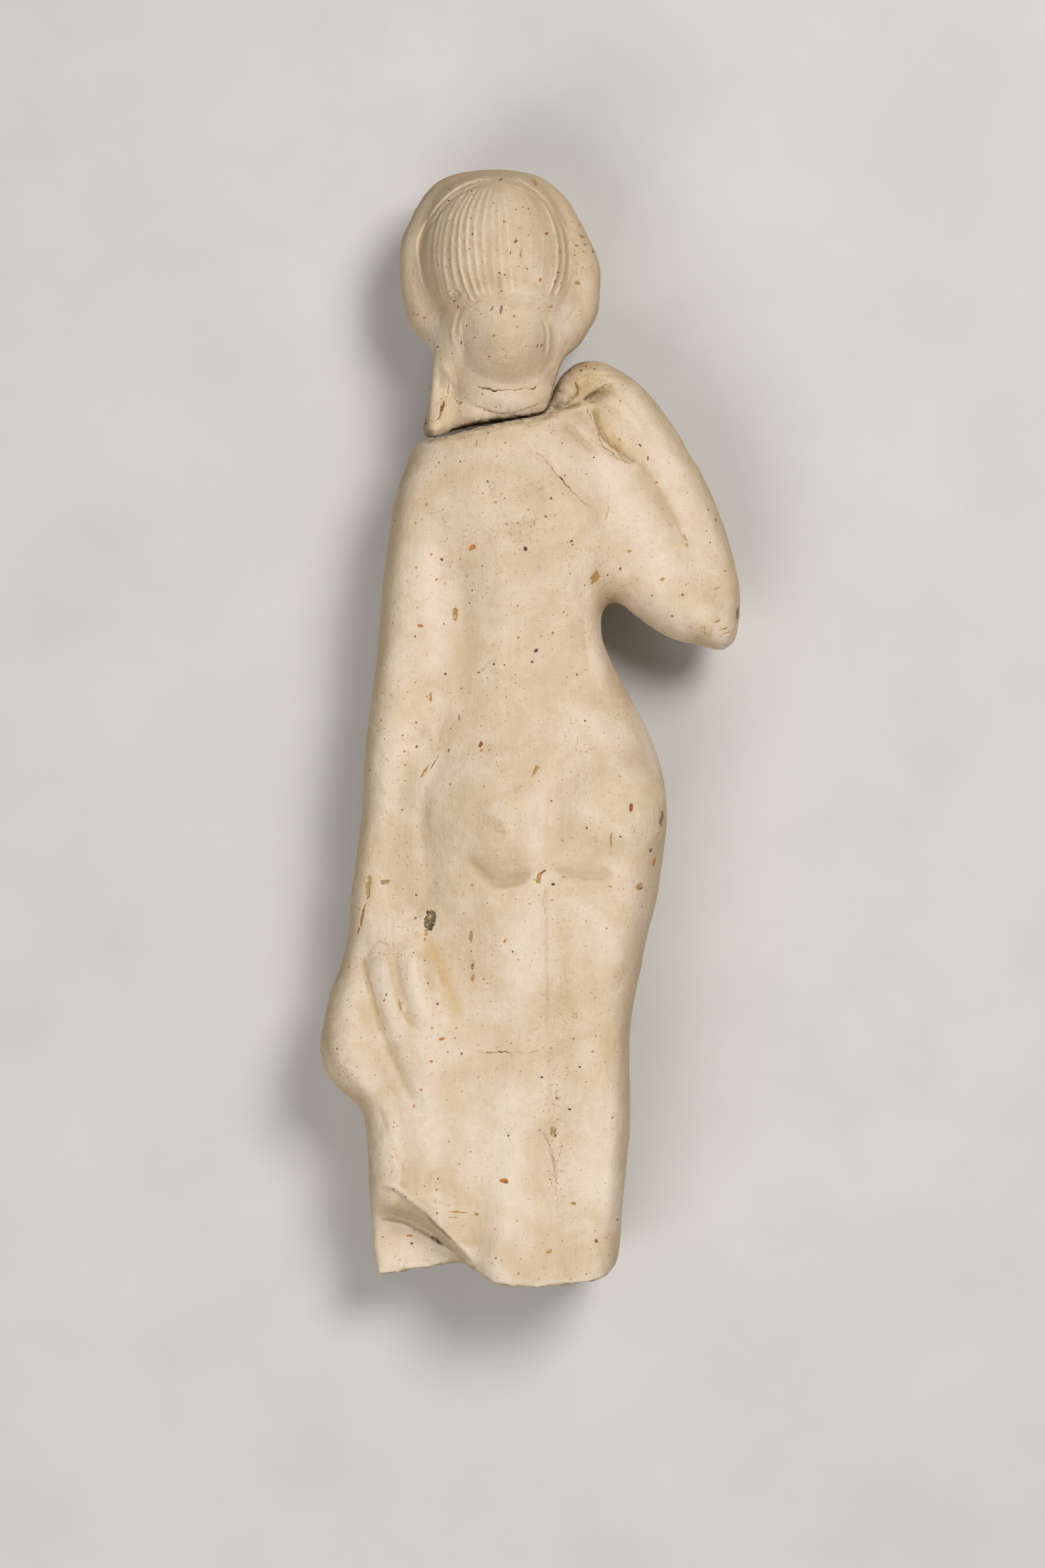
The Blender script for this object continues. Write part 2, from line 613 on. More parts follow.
# %% The slanting step at the lower left
LIP = [(-22.0, -66.0), (-19.4, -66.7), (-17.4, -68.4), (-14.9, -70.4), (-12.6, -72.7),
    (-10.9, -74.4), (-8.0, -77.3)]
PLATE_EDGE = [(-21.5, -70.9), (-18.8, -71.3), (-17.1, -71.9), (-15.3, -72.9), (-13.4, -74.0),
    (-11.1, -75.4), (-9.2, -76.5)]
draw(body, LIP, 0.7, -0.35, 0.12)
step_down(body, LIP, 0.65, 2.4, -1, 0.1, 0.35)
draw(body, PLATE_EDGE, 0.28, 0.26, 0.12)
step_down(body, PLATE_EDGE, 0.20, 1.0, 1, 0.1)
print("step lines:", len(LIP), "and", len(PLATE_EDGE), "places")

# %% [markdown]
# ## The raised arm
#
# The forearm folds over the upper arm, and the hand once lay on the hair. A wide worn groove parts them, with
# one sharp edge on its left. The hand itself is broken: a round stub with a curved scar, a small ledge above
# a hollow, and a step down from the smooth shoulder.

# %% Groove and edges of the raised arm
ARM_EDGE = [(8.7, 46.5), (9.5, 43.9), (10.2, 42.0), (11.5, 40.6), (13.4, 39.1), (15.3, 37.9)]
ARM_LINE = [(13.4, 40.6), (16.0, 37.8), (17.6, 35.4), (19.4, 32.4), (20.8, 29.6), (21.8, 27.2)]
step_down(body, ARM_EDGE, 0.60, 1.0, 1, 0.15, 0.12)
draw(body, ARM_LINE, 0.90, 0.20, 0.35)
draw(body, [(4.4, 44.4), (5.8, 42.8), (7.4, 41.2), (9.0, 39.9), (10.6, 38.4)], 0.8, 0.55, 0.3)
draw(body, [(6.0, 44.0), (7.8, 42.6), (9.4, 41.2), (11.2, 39.4)], 0.9, -0.25, 0.3)
draw(body, [(-0.6, 42.6), (-0.4, 40.8), (0.5, 39.6), (1.7, 38.9), (2.9, 37.7), (4.3, 36.0),
    (5.6, 34.5)], 0.45, 0.14, 0.3)
step_down(body, [(17.4, 23.4), (18.6, 24.8), (20.2, 25.6), (21.4, 27.0)], 0.16, 1.4, 1, 0.3, 0.5)
print("raised arm drawn")

# %% The broken hand
def pulled(clay, centre, radii, shift):
    """Pulls the clay sideways over an ellipse in plan, flanks and all."""
    off = (clay.plan - np.array(centre)) / np.array(radii)
    weight = np.clip(1 - (off**2).sum(axis=1), 0, 1)
    clay.at[:, :2] += weight[:, None] * np.array(shift)


HAND_SCAR = [(6.3, 49.8), (6.8, 49.1), (7.0, 48.4), (6.8, 47.8), (6.4, 47.5), (5.7, 47.1),
    (5.4, 46.6), (5.0, 46.1)]
HAND_LEDGE = [(12.2, 49.8), (11.3, 49.4), (10.5, 48.9), (9.7, 48.4), (8.9, 48.0), (8.2, 47.4), (7.4, 46.8)]
SHOULDER_EDGE = [(2.2, 44.6), (3.6, 45.5), (5.0, 45.8), (6.5, 45.9), (7.6, 46.4), (8.2, 46.9)]
pulled(body, (3.6, 48.6), (2.6, 4.2), (-0.75, 0.0))
pulled(head, (2.4, 46.2), (2.4, 3.2), (0.32, 0.0))
swell(body, (5.2, 48.5), (2.2, 2.8), 0.35, -20)
step_down(body, HAND_SCAR, 0.40, 1.0, -1, 0.1, 0.12)
step_down(body, HAND_LEDGE, 0.50, 1.2, 1, 0.15, 0.2)
swell(body, (9.4, 47.7), (2.2, 1.2), -0.40, 28)
step_down(body, SHOULDER_EDGE, 0.55, 1.2, 1, 0.1, 0.15)
draw(body, [(3.4, 50.0), (3.3, 48.6), (3.1, 47.0)], 0.5, 0.5, 0.2)
draw(body, [(6.7, 50.6), (9.0, 50.7), (11.2, 50.6), (12.9, 50.7)], 0.16, 0.12, 0.2)
draw(body, [(9.3, 51.5), (9.7, 51.9), (10.3, 52.2)], 0.18, 0.14, 0.2)
draw(body, [(8.6, 50.0), (10.1, 50.0), (11.2, 49.8)], 0.15, 0.12, 0.2)
body.write()
face_up(body)
print("hand drawn:", len(HAND_SCAR) + len(HAND_LEDGE) + len(SHOULDER_EDGE), "places")

# %% [markdown]
# ## The hair
#
# The hair is drawn back over a dome, inside a roll that frames the head, and gathered in a bun at the nape.
# The roll's inner edge is the strongest line, so the dome is stepped down from it. The strands are thin
# bright crests. The scoop between two crests runs midway between them, so only the crests are listed.

# %% Dome and roll
RIM = [(-3.8, 79.0), (-5.1, 78.9), (-8.8, 78.3), (-11.9, 76.4), (-14.3, 73.6), (-15.7, 71.0),
    (-16.1, 68.8), (-15.8, 66.6), (-15.3, 64.0), (-14.3, 61.3)]
RIM_RIGHT = [(-3.8, 79.0), (-2.1, 78.8), (-0.5, 78.1), (1.1, 76.8), (2.8, 75.2), (4.4, 73.0),
    (5.4, 71.2), (5.9, 69.5), (6.0, 67.3), (5.7, 64.9), (4.9, 62.5)]
swell(head, (-3.5, 69.0), (9.0, 9.0), 0.55, 0, 1.4)
swell(head, (-4.0, 61.2), (10.0, 3.0), 0.45, 0, 1.5)
step_down(head, RIM, 0.70, 2.0, 1, 0.2, 0.25)
step_down(head, RIM_RIGHT, 0.50, 1.2, -1, 0.15, 0.25)
head.write()
print("dome height above the floor, mm:", round(float(head.at[:, 2].max()), 2))

# %% Strands of the dome
CRESTS = [
    ([(-8.8, 78.0), (-12.0, 75.8), (-14.0, 72.6), (-14.8, 69.4), (-14.8, 66.4), (-14.2, 63.4)], 0.16),
    ([(-8.8, 77.8), (-12.2, 74.8), (-13.5, 71.7), (-13.9, 68.8), (-13.7, 66.2), (-13.1, 63.5),
         (-12.4, 60.9)], 0.30),
    ([(-8.6, 77.8), (-11.8, 74.7), (-12.9, 71.4), (-13.2, 68.2), (-12.9, 65.0), (-12.1, 61.6)], 0.16),
    ([(-8.9, 77.7), (-11.2, 74.6), (-12.2, 71.0), (-12.5, 67.5), (-12.1, 64.4), (-11.4, 61.6)], 0.22),
    ([(-8.2, 77.8), (-10.4, 74.1), (-11.2, 70.6), (-11.3, 67.5), (-10.9, 64.6), (-10.1, 62.4)], 0.22),
    ([(-7.6, 77.9), (-9.6, 74.3), (-10.2, 71.0), (-10.2, 67.5), (-9.7, 64.8), (-8.8, 62.2),
         (-7.9, 60.9)], 0.30),
    ([(-6.9, 78.0), (-8.6, 74.6), (-9.15, 71.0), (-9.0, 67.5), (-8.4, 64.4), (-7.3, 61.3)], 0.26),
    ([(-6.3, 78.0), (-7.6, 74.6), (-8.0, 71.0), (-7.8, 67.5), (-7.3, 64.4), (-6.4, 62.0)], 0.20),
    ([(-5.6, 78.0), (-6.5, 74.5), (-6.8, 70.6), (-6.6, 67.5), (-6.2, 64.0), (-5.5, 61.8)], 0.18),
    ([(-4.9, 77.6), (-5.5, 74.0), (-5.5, 70.0), (-5.3, 66.6), (-4.8, 63.0)], 0.10),
    ([(-4.4, 77.6), (-4.5, 74.0), (-4.4, 70.0), (-4.1, 66.6), (-3.7, 62.4)], 0.10),
    ([(-4.2, 77.6), (-3.4, 74.0), (-3.1, 70.0), (-2.8, 66.6), (-2.4, 62.2)], 0.12),
    ([(-3.8, 77.8), (-1.9, 75.6), (-1.6, 72.0), (-1.6, 68.0), (-1.4, 64.0)], 0.08),
    ([(-3.7, 78.0), (-1.2, 76.2), (-0.2, 73.6), (0.2, 70.6), (0.2, 67.0), (0.0, 62.8)], 0.08),
    ([(-3.6, 78.0), (-0.6, 76.6), (1.2, 73.6), (1.9, 71.0), (2.0, 67.0), (1.6, 63.0)], 0.10),
    ([(-3.1, 78.4), (0, 77.0), (2.0, 75.3), (3.3, 72.6), (4.0, 69.7), (4.05, 66.6), (3.5, 64.0),
         (2.6, 61.8)], 0.75),
    ([(-2.2, 78.6), (1.4, 76.4), (2.9, 75.0), (4.4, 72.3), (5.05, 69.2), (5.05, 66.6), (4.6, 64.0),
         (3.7, 61.9)], 0.65),
    ([(-1.4, 78.7), (2.2, 76.3), (4.0, 74.0), (5.3, 71.2), (5.85, 68.6), (5.8, 66.0), (5.3, 63.6)], 0.42),
]


def evenly(points, count=60):
    """A traced line cut into equal steps."""
    line = traced(points, 0.2)
    along = np.concatenate([[0], np.cumsum(np.hypot(*np.diff(line, axis=0).T))])
    at = np.linspace(0, along[-1], count)
    return np.column_stack([np.interp(at, along, line[:, k]) for k in (0, 1)])


for points, height in CRESTS:
    draw(head, points, 0.22, -0.75 * height, 0.06, 0.60)
for (left, a), (right, b) in zip(CRESTS[:-1], CRESTS[1:]):
    between = (evenly(left, 8) + evenly(right, 8)) / 2
    draw(head, between, 0.34, 0.62 * min(a, b), 0.06, 0.60)
draw(head, [(-5.1, 78.4), (-8.6, 77.5), (-11.4, 75.8), (-13.6, 73.1), (-15.2, 70.7), (-15.5, 68.4)],
    0.20, 0.22, 0.2)
print("crests:", len(CRESTS))

# %% Bun, nape and lock
BUN_LINES = [
    ([(-8.4, 58.6), (-5.0, 60.2), (-1.8, 60.3), (1.0, 59.8), (3.2, 58.2)], 0.8, 0.24),
    ([(3.1, 58.6), (3.6, 56.4), (3.3, 53.6), (2.2, 51.4)], 0.7, 0.30),
    ([(-7.4, 50.6), (-4.6, 49.8), (-1.8, 49.8), (0.8, 50.6), (2.6, 52.0)], 1.0, 0.14),
    ([(-8.0, 57.0), (-7.0, 54.6), (-5.4, 53.2)], 0.8, 0.06),
    ([(-11.4, 61.0), (-12.4, 59.2), (-12.8, 57.4)], 0.30, -0.12),
    ([(-8.2, 60.6), (-9.2, 59.0), (-9.6, 57.2)], 0.26, -0.12),
    ([(5.6, 58.4), (6.6, 60.6), (7.8, 62.2)], 0.35, 0.07),
    ([(4.6, 57.0), (5.8, 59.2), (7.2, 60.8)], 0.30, 0.06),
    ([(0.6, 59.4), (1.6, 58.0), (1.9, 55.8), (1.7, 53.4)], 0.25, -0.12),
    ([(1.6, 59.3), (2.6, 57.8), (2.8, 55.0), (2.3, 52.4)], 0.22, -0.16),
    ([(1.2, 58.8), (2.2, 57.2), (2.3, 54.8), (1.9, 52.6)], 0.22, 0.14),
    ([(-9.6, 56.4), (-9.6, 53.6), (-8.6, 51.4), (-7.0, 50.4)], 1.4, 0.12),
    ([(-9.0, 60.4), (-9.9, 58.4), (-10.2, 56.2)], 0.32, -0.20),
    ([(-10.3, 60.4), (-11.0, 58.2), (-11.2, 56.2), (-10.8, 54.4)], 0.32, -0.20),
    ([(-9.7, 60.2), (-10.5, 58.2), (-10.7, 56.0)], 0.30, 0.12),
    ([(6.6, 63.6), (5.4, 61.0), (4.6, 58.0)], 0.6, -0.20),
    ([(-12.6, 53.0), (-11.9, 51.0), (-11.8, 48.8), (-12.2, 47.0), (-12.7, 45.2), (-13.2, 43.8)],
         0.5, -0.28),
    ([(-11.3, 53.4), (-10.6, 51.0), (-10.5, 48.8), (-10.9, 46.6)], 0.8, 0.22),
    ([(-13.2, 52.4), (-12.9, 50.4), (-13.0, 48.0)], 0.35, 0.12),
]
for points, width, depth in BUN_LINES:
    draw(head, points, width, depth, 0.25, 0.3)
ROLL_BUMPS = [
    ((7.0, 70.6), (1.5, 0.8), 0.16, -30), ((6.5, 68.0), (0.9, 1.3), -0.14, 20), ((7.9, 66.4),
         (1.6, 1.1), 0.16, 40),
    ((6.8, 64.0), (1.3, 0.9), 0.18, -20), ((7.4, 61.6), (1.0, 1.4), -0.14, 30), ((5.9, 59.6),
         (1.1, 1.6), 0.14, -30),
    ((5.2, 72.9), (0.9, 1.4), -0.12, 40), ((-17.0, 66.0), (1.0, 2.2), -0.10, 0), ((-16.4, 61.4),
         (1.4, 2.0), 0.10, 20),
    ((-12.0, 58.4), (1.6, 1.6), -0.12, 0), ((-3.4, 55.6), (2.6, 2.0), 0.12, 0), ((-11.0, 62.0),
         (0.9, 0.8), -0.16, 0),
]
for centre, radii, height, turn in ROLL_BUMPS:
    swell(head, centre, radii, height, turn, 1.6)
pulled(head, (-14.2, 43.2), (3.2, 2.2), (-0.10, -0.85))
draw(head, [(-11.9, 62.6), (-11.2, 62.95), (-10.4, 62.6), (-10.3, 61.8), (-10.9, 61.3),
    (-11.7, 61.5), (-11.9, 62.3)], 0.16, 0.14, 0.05)
head.write()
face_up(head)
print("bun lines:", len(BUN_LINES))

# %% [markdown]
# ## Cracks, chips and grit
#
# The fine damage needs a finer skin again, but only in a narrow strip round each crack and each grain. The
# strips are split once or twice, and then the cracks are cut as V-grooves and the grains pressed in or
# left standing proud. Each also leaves a mark on the points, which the material reads as dirt or as mineral
# colour.

# %% Lists of cracks and of grains
# Each crack: places, width, depth
BODY_CRACKS = [
    ([(8.1, 46.2), (8.9, 44.4), (9.7, 42.7), (10.1, 41.1), (11.1, 39.9), (12.7, 38.7), (14.3, 37.9)],
         0.06, 0.20),
    ([(8.9, 45.6), (9.5, 43.9), (10.2, 42.0), (11.5, 40.6), (13.4, 39.1)], 0.05, 0.04),
    ([(8.5, 41.8), (9.5, 40.8), (10.5, 40.2), (11.4, 39.2), (13.4, 38.3)], 0.06, 0.12),
    ([(11.5, 45.2), (12.6, 44.1), (13.5, 43.0), (14.0, 42.0), (14.9, 41.2), (15.8, 40.6)], 0.05, 0.03),
    ([(0.5, 39.7), (1.7, 38.9), (2.9, 37.7), (4.3, 36.0), (5.6, 34.5), (6.6, 33.4), (7.8, 32.4),
         (8.8, 31.8)], 0.08, 0.10),
    ([(4.1, 36.2), (5.0, 35.2), (5.8, 34.3)], 0.10, 0.20),
    ([(11.4, 35.2), (11.4, 33.0), (11.2, 30.6), (10.3, 29.5)], 0.08, 0.08),
    ([(-8.6, -46.6), (-6.2, -47.0), (-3.6, -46.8), (-1.0, -47.0), (1.6, -46.8)], 0.06, 0.12),
    ([(-6.4, -46.9), (-4.0, -46.9), (-2.6, -47.0)], 0.08, 0.22),
    ([(2.7, -58.6), (2.9, -61.7), (3.8, -62.9), (3.9, -66.5), (3.9, -70.2)], 0.07, 0.06),
    ([(3.8, -62.9), (3.3, -64.8), (2.8, -66.9)], 0.07, 0.06),
    ([(2.2, -23.0), (1.9, -25.5), (2.4, -28.0), (2.2, -33.0)], 0.07, 0.05),
    ([(6.3, 49.8), (6.8, 49.1), (7.0, 48.4), (6.8, 47.8), (6.4, 47.5), (5.7, 47.1), (5.4, 46.6),
         (5.0, 46.1)], 0.07, 0.16),
    ([(11.2, 49.4), (10.5, 48.9), (9.7, 48.4), (8.9, 48.0), (8.3, 47.6)], 0.07, 0.16),
    ([(8.4, 46.85), (9.2, 46.9), (9.7, 46.8)], 0.07, 0.12),
    ([(4.9, 45.9), (6.2, 46.05), (7.2, 46.5)], 0.10, 0.12),
    ([(-14.9, -70.4), (-13.6, -71.9), (-12.4, -72.9), (-11.3, -74.0)], 0.09, 0.10),
    ([(-14.3, -73.4), (-13.4, -74.0), (-12.4, -74.6)], 0.16, 0.25),
    ([(-15.5, -27.2), (-16.2, -27.4), (-16.9, -27.9)], 0.07, 0.08),
    ([(-16.0, -28.4), (-16.7, -28.9), (-17.0, -29.5), (-16.4, -30.1), (-15.7, -29.7)], 0.06, 0.05),
    ([(-17.0, -26.6), (-16.3, -26.9), (-15.6, -27.0)], 0.05, 0.04),
    ([(-3.9, -58.6), (-3.5, -57.8), (-2.7, -57.0), (-2.0, -56.8), (-2.3, -57.6), (-3.0, -58.4),
         (-3.8, -58.7)], 0.05, 0.02),
    ([(-18.0, -6.8), (-17.0, -6.6)], 0.06, 0.05),
    ([(-11.0, 4.6), (-11.4, 2.8), (-12.4, 0.4), (-13.0, -1.0)], 0.05, 0.03),
    ([(-6.9, 29.6), (-5.0, 28.0), (-3.0, 28.4), (-1.6, 29.8)], 0.05, 0.03),
    ([(11.3, 28.8), (11.3, 26.0), (11.2, 23.6)], 0.05, 0.02),
    ([(-8.3, 39.4), (-8.6, 37.2), (-9.1, 34.6)], 0.05, 0.02),
    ([(-0.8, 44.1), (-0.2, 43.4), (0.8, 43.3), (1.6, 43.7)], 0.06, 0.03),
    ([(-0.6, 42.4), (-0.4, 40.8), (0.5, 39.7)], 0.06, 0.02),
]
HEAD_CRACKS = [
    ([(-7.9, 49.3), (-7.2, 48.8), (-6.4, 48.8), (-5.7, 48.5), (-4.2, 48.3), (-3.2, 48.4),
         (-1.8, 48.5), (-0.6, 48.7), (0.5, 48.6), (1.3, 49.1)], 0.09, 0.24),
    ([(-7.0, 48.8), (-6.2, 48.7), (-5.2, 48.4), (-4.6, 48.4)], 0.12, 0.30),
    ([(-11.85, 50.9), (-11.7, 49.5), (-11.8, 48.4), (-12.1, 47.2)], 0.08, 0.10),
    ([(-12.8, 45.1), (-13.1, 44.3), (-13.6, 44.0)], 0.11, 0.22),
    ([(-3.4, 44.6), (-2.6, 44.9), (-1.6, 44.8), (-0.4, 45.2), (1.2, 45.5), (2.2, 45.6)], 0.10, 0.12),
]
# Each grain: kind, x, y, length, width, turn in degrees, height (negative for a pit)
BODY_GRAINS = [
    ("orange", -8.2, 25.9, 1.0, 0.7, 20, -0.08), ("orange", -8.5, 25.6, 0.7, 0.5, 70, 0.03),
    ("black", -0.64, 25.65, 0.75, 0.5, -50, -0.15), ("red", -12.7, 24.1, 0.5, 0.4, -40, -0.1),
    ("orange", -14.2, 24.8, 0.35, 0.3, 30, 0.0), ("orange", -13.4, 21.2, 0.35, 0.3, 0, 0.0),
    ("red", 6.0, 26.7, 0.4, 0.35, 0, -0.1), ("red", 6.2, 26.2, 0.25, 0.2, 0, -0.1),
    ("slate", 1.3, 22.8, 1.3, 0.7, 100, -0.06), ("slate", 1.7, 25.2, 0.9, 0.5, 45, -0.06),
    ("ochre", 9.5, 21.6, 1.9, 1.3, 60, -0.10), ("ochre", 9.1, 20.8, 1.1, 0.5, 80, -0.10),
    ("brown", 13.0, 22.6, 0.9, 0.4, 80, -0.08), ("ochre", -10.8, 16.3, 2.1, 0.85, 88, -0.20),
    ("black", -8.7, 17.8, 0.3, 0.28, 0, -0.15), ("brown", -8.3, 19.6, 0.28, 0.25, 0, -0.1),
    ("black", 0.85, 10.9, 0.7, 0.5, 30, -0.15), ("brown", 0.3, 9.3, 0.4, 0.3, 80, -0.12),
    ("black", -12.2, 7.6, 0.4, 0.4, 0, -0.12), ("brown", -7.4, 7.8, 0.45, 0.3, 0, -0.1),
    ("black", -5.2, 9.0, 0.3, 0.28, 0, -0.1), ("brown", -2.1, 7.5, 0.3, 0.2, 80, -0.1),
    ("brown", 6.8, 7.5, 0.35, 0.2, 80, -0.08), ("ochre", -14.3, 4.3, 1.8, 0.5, 88, -0.08),
    ("brown", -12.4, 14.8, 0.35, 0.25, -40, -0.1), ("brown", 4.85, 16.5, 0.3, 0.25, 0, -0.1),
    ("ochre", 3.3, 13.5, 0.6, 0.4, 60, -0.05), ("grey", 5.8, 22.0, 0.25, 0.2, 0, -0.1),
    ("orange", -15.7, 14.5, 0.9, 0.5, -10, -0.04), ("brown", -16.5, 13.0, 0.3, 0.3, 0, -0.05),
    ("brown", 2.3, 30.3, 0.45, 0.35, -50, -0.12), ("grey", -6.1, 35.3, 0.5, 0.35, -60, -0.1),
    ("grey", -10.2, 1.3, 1.0, 0.3, 85, -0.08), ("grey", -16.4, 0.6, 0.35, 0.3, 0, -0.1),
    ("red", -7.1, -2.5, 0.8, 0.6, 70, -0.06), ("ochre", -7.0, -3.4, 0.5, 0.35, 45, -0.04),
    ("ochre", -5.9, -3.4, 0.9, 0.25, 50, -0.03), ("ochre", 0.7, -6.4, 1.9, 0.6, 65, -0.08),
    ("ochre", 1.2, -5.9, 0.7, 0.4, -20, -0.06), ("grey", -11.7, -3.4, 0.6, 0.3, 80, -0.08),
    ("grey", -16.3, -2.9, 0.6, 0.35, 60, -0.08), ("red", -18.4, -12.0, 0.5, 0.25, 30, -0.08),
    ("ochre", -18.0, -7.8, 0.9, 0.2, 10, -0.04), ("brown", -13.8, -5.2, 2.2, 0.25, 60, -0.06),
    ("ochre", -15.2, -6.4, 2.4, 0.35, 57, -0.12), ("red", 14.6, -11.7, 1.3, 0.6, 85, -0.06),
    ("red", 14.5, -11.4, 0.6, 0.45, 85, -0.06), ("brown", 19.0, -13.2, 2.6, 0.6, 82, -0.12),
    ("slate", 15.1, -15.2, 0.7, 0.4, 80, -0.08), ("brown", 17.4, -17.8, 0.8, 0.45, 75, -0.10),
    ("orange", 17.9, -19.5, 1.4, 0.4, 80, -0.06), ("ochre", 15.7, -23.0, 1.4, 1.0, 40, -0.08),
    ("brown", 16.0, -23.3, 0.8, 0.4, 40, -0.12), ("ochre", 11.7, -16.4, 2.3, 0.4, 88, -0.05),
    ("black", 3.3, -22.7, 0.55, 0.4, 10, -0.15), ("ochre", 1.3, -21.8, 1.9, 0.8, 80, -0.10),
    ("brown", 1.9, -20.9, 1.1, 0.4, 35, -0.10), ("ochre", 4.9, -21.6, 0.5, 0.3, -20, -0.06),
    ("ochre", 11.6, -23.0, 0.8, 0.3, -5, -0.04), ("slate", 5.0, -27.8, 0.5, 0.4, 50, -0.06),
    ("slate", -3.8, -19.8, 0.9, 0.7, 90, -0.05), ("slate", 15.2, -29.2, 0.9, 0.3, 60, -0.06),
    ("olive", -20.9, -22.4, 1.6, 0.9, 10, -0.08), ("tan", -23.3, -23.2, 3.6, 0.9, 84, -0.25),
    ("ochre", -24.2, -27.4, 3.6, 0.5, 78, -0.22), ("ochre", -24.8, -29.3, 1.2, 0.4, 80, -0.20),
    ("tar", -14.4, -27.8, 3.3, 1.9, 78, -0.35), ("olive", -14.4, -27.5, 1.1, 0.6, 50, 0.12),
    ("black", -14.2, -28.8, 1.0, 0.5, 70, -0.15), ("black", -14.7, -26.7, 0.6, 0.4, 20, -0.12),
    ("tan", -15.0, -29.6, 1.3, 0.6, 80, -0.10), ("tan", -15.1, -30.6, 0.7, 0.4, 80, -0.05),
    ("olive", -8.5, -30.3, 1.9, 0.6, 88, -0.12), ("brown", -8.3, -34.6, 0.9, 0.4, 85, -0.08),
    ("ochre", -8.3, -36.2, 1.2, 0.5, 85, -0.08), ("black", -13.3, -39.9, 0.35, 0.3, 0, -0.1),
    ("orange", -3.6, -30.9, 0.7, 0.35, 60, -0.05), ("brown", -2.5, -32.4, 0.4, 0.4, 0, -0.1),
    ("orange", -12.7, -45.0, 0.9, 0.5, 20, -0.06), ("orange", -14.1, -43.4, 0.4, 0.25, 80, -0.04),
    ("orange", -10.6, -43.4, 0.4, 0.3, 0, -0.04), ("orange", -14.2, -48.2, 0.45, 0.4, 0, -0.05),
    ("orange", -15.7, -52.3, 0.45, 0.4, 0, -0.05), ("orange", -16.7, -54.6, 0.6, 0.25, 80, -0.05),
    ("brown", -20.7, -38.6, 0.5, 0.25, 80, -0.1), ("brown", -21.0, -39.4, 0.4, 0.25, 70, -0.1),
    ("ochre", -18.7, -40.0, 1.9, 0.35, 100, -0.06), ("slate", -18.7, -44.6, 0.5, 0.4, 0, -0.05),
    ("olive", 3.9, -53.6, 0.9, 0.6, 40, -0.10), ("black", 3.8, -53.4, 0.4, 0.25, 30, -0.12),
    ("black", 5.7, -55.1, 0.5, 0.3, 0, -0.15), ("olive", 3.4, -58.2, 1.7, 1.1, 75, -0.14),
    ("brown", 3.7, -58.9, 0.8, 0.4, 60, -0.14), ("tan", 6.5, -41.6, 1.1, 1.0, 0, -0.05),
    ("slate", 6.5, -41.6, 0.8, 0.7, 0, 0.0),
    ("olive", 9.0, -46.8, 0.5, 0.35, 0, -0.08), ("black", 7.2, -49.0, 0.35, 0.25, 0, -0.1),
    ("black", 1.7, -50.5, 0.4, 0.3, 0, -0.12), ("slate", 12.4, -36.0, 0.5, 0.35, 60, -0.06),
    ("orange", -3.75, -65.4, 1.35, 0.8, -8, 0.10), ("red", -3.5, -65.6, 0.6, 0.4, -8, 0.05),
    ("slate", -14.3, -64.8, 0.65, 0.5, 10, -0.06), ("ochre", 6.3, -68.7, 0.8, 0.5, -20, -0.06),
    ("brown", 9.6, -74.1, 0.7, 0.6, -60, -0.10), ("ochre", 2.8, -75.6, 1.2, 0.5, 30, -0.06),
    ("olive", 12.6, -71.0, 0.4, 0.3, 0, -0.08), ("orange", 2.9, -65.2, 0.4, 0.3, 0, -0.04),
    ("orange", 11.9, -56.3, 0.5, 0.3, 30, -0.04), ("ochre", -10.3, -69.9, 2.6, 0.35, -5, -0.05),
    ("ochre", -11.0, -70.7, 1.6, 0.3, 0, -0.05), ("ochre", -7.7, -70.2, 0.7, 0.5, 0, -0.04),
    ("orange", -17.3, -73.3, 0.9, 0.35, 0, -0.06), ("brown", -17.0, -74.4, 0.5, 0.4, 0, -0.10),
    ("orange", -16.6, -72.5, 0.6, 0.25, 90, -0.05), ("black", -3.1, -58.9, 0.3, 0.3, 0, -0.08),
    ("brown", 29.9, 16.3, 1.9, 0.5, 84, -0.08), ("ochre", 26.9, 19.9, 1.2, 0.25, 20, -0.05),
    ("ochre", 27.1, 15.2, 1.4, 0.35, 28, -0.08), ("ochre", 28.0, 14.1, 1.6, 0.3, 18, -0.08),
    ("ochre", 28.4, 13.5, 1.3, 0.25, 15, -0.06), ("ochre", 23.1, 14.4, 0.9, 0.2, 110, -0.05),
    ("ochre", 25.2, 13.7, 1.6, 0.25, 95, -0.05), ("ochre", 24.1, 12.8, 0.7, 0.25, 60, -0.05),
    ("orange", 28.1, 22.4, 0.45, 0.25, -20, -0.04), ("slate", 24.8, 20.4, 0.5, 0.35, 60, -0.06),
    ("red", 22.0, 19.0, 0.5, 0.4, -20, -0.08), ("ochre", 19.1, 21.2, 0.9, 0.6, 20, -0.06),
    ("ochre", 14.3, 25.3, 0.7, 0.5, -20, -0.05), ("black", 17.6, 18.9, 0.3, 0.25, 80, -0.1),
    ("brown", 20.5, 15.9, 0.4, 0.3, 0, -0.1), ("tan", 22.4, 27.2, 1.6, 0.5, -62, -0.08),
    ("ochre", 22.6, 26.2, 0.9, 0.5, 90, -0.05), ("brown", 26.8, 29.8, 0.5, 0.25, 80, -0.08),
    ("orange", 18.3, 35.2, 0.5, 0.3, 20, -0.04), ("brown", 17.0, 38.6, 0.6, 0.2, 85, -0.05),
    ("black", 9.2, 38.75, 0.35, 0.28, 0, -0.12), ("orange", 8.2, 36.4, 0.35, 0.25, 0, -0.04),
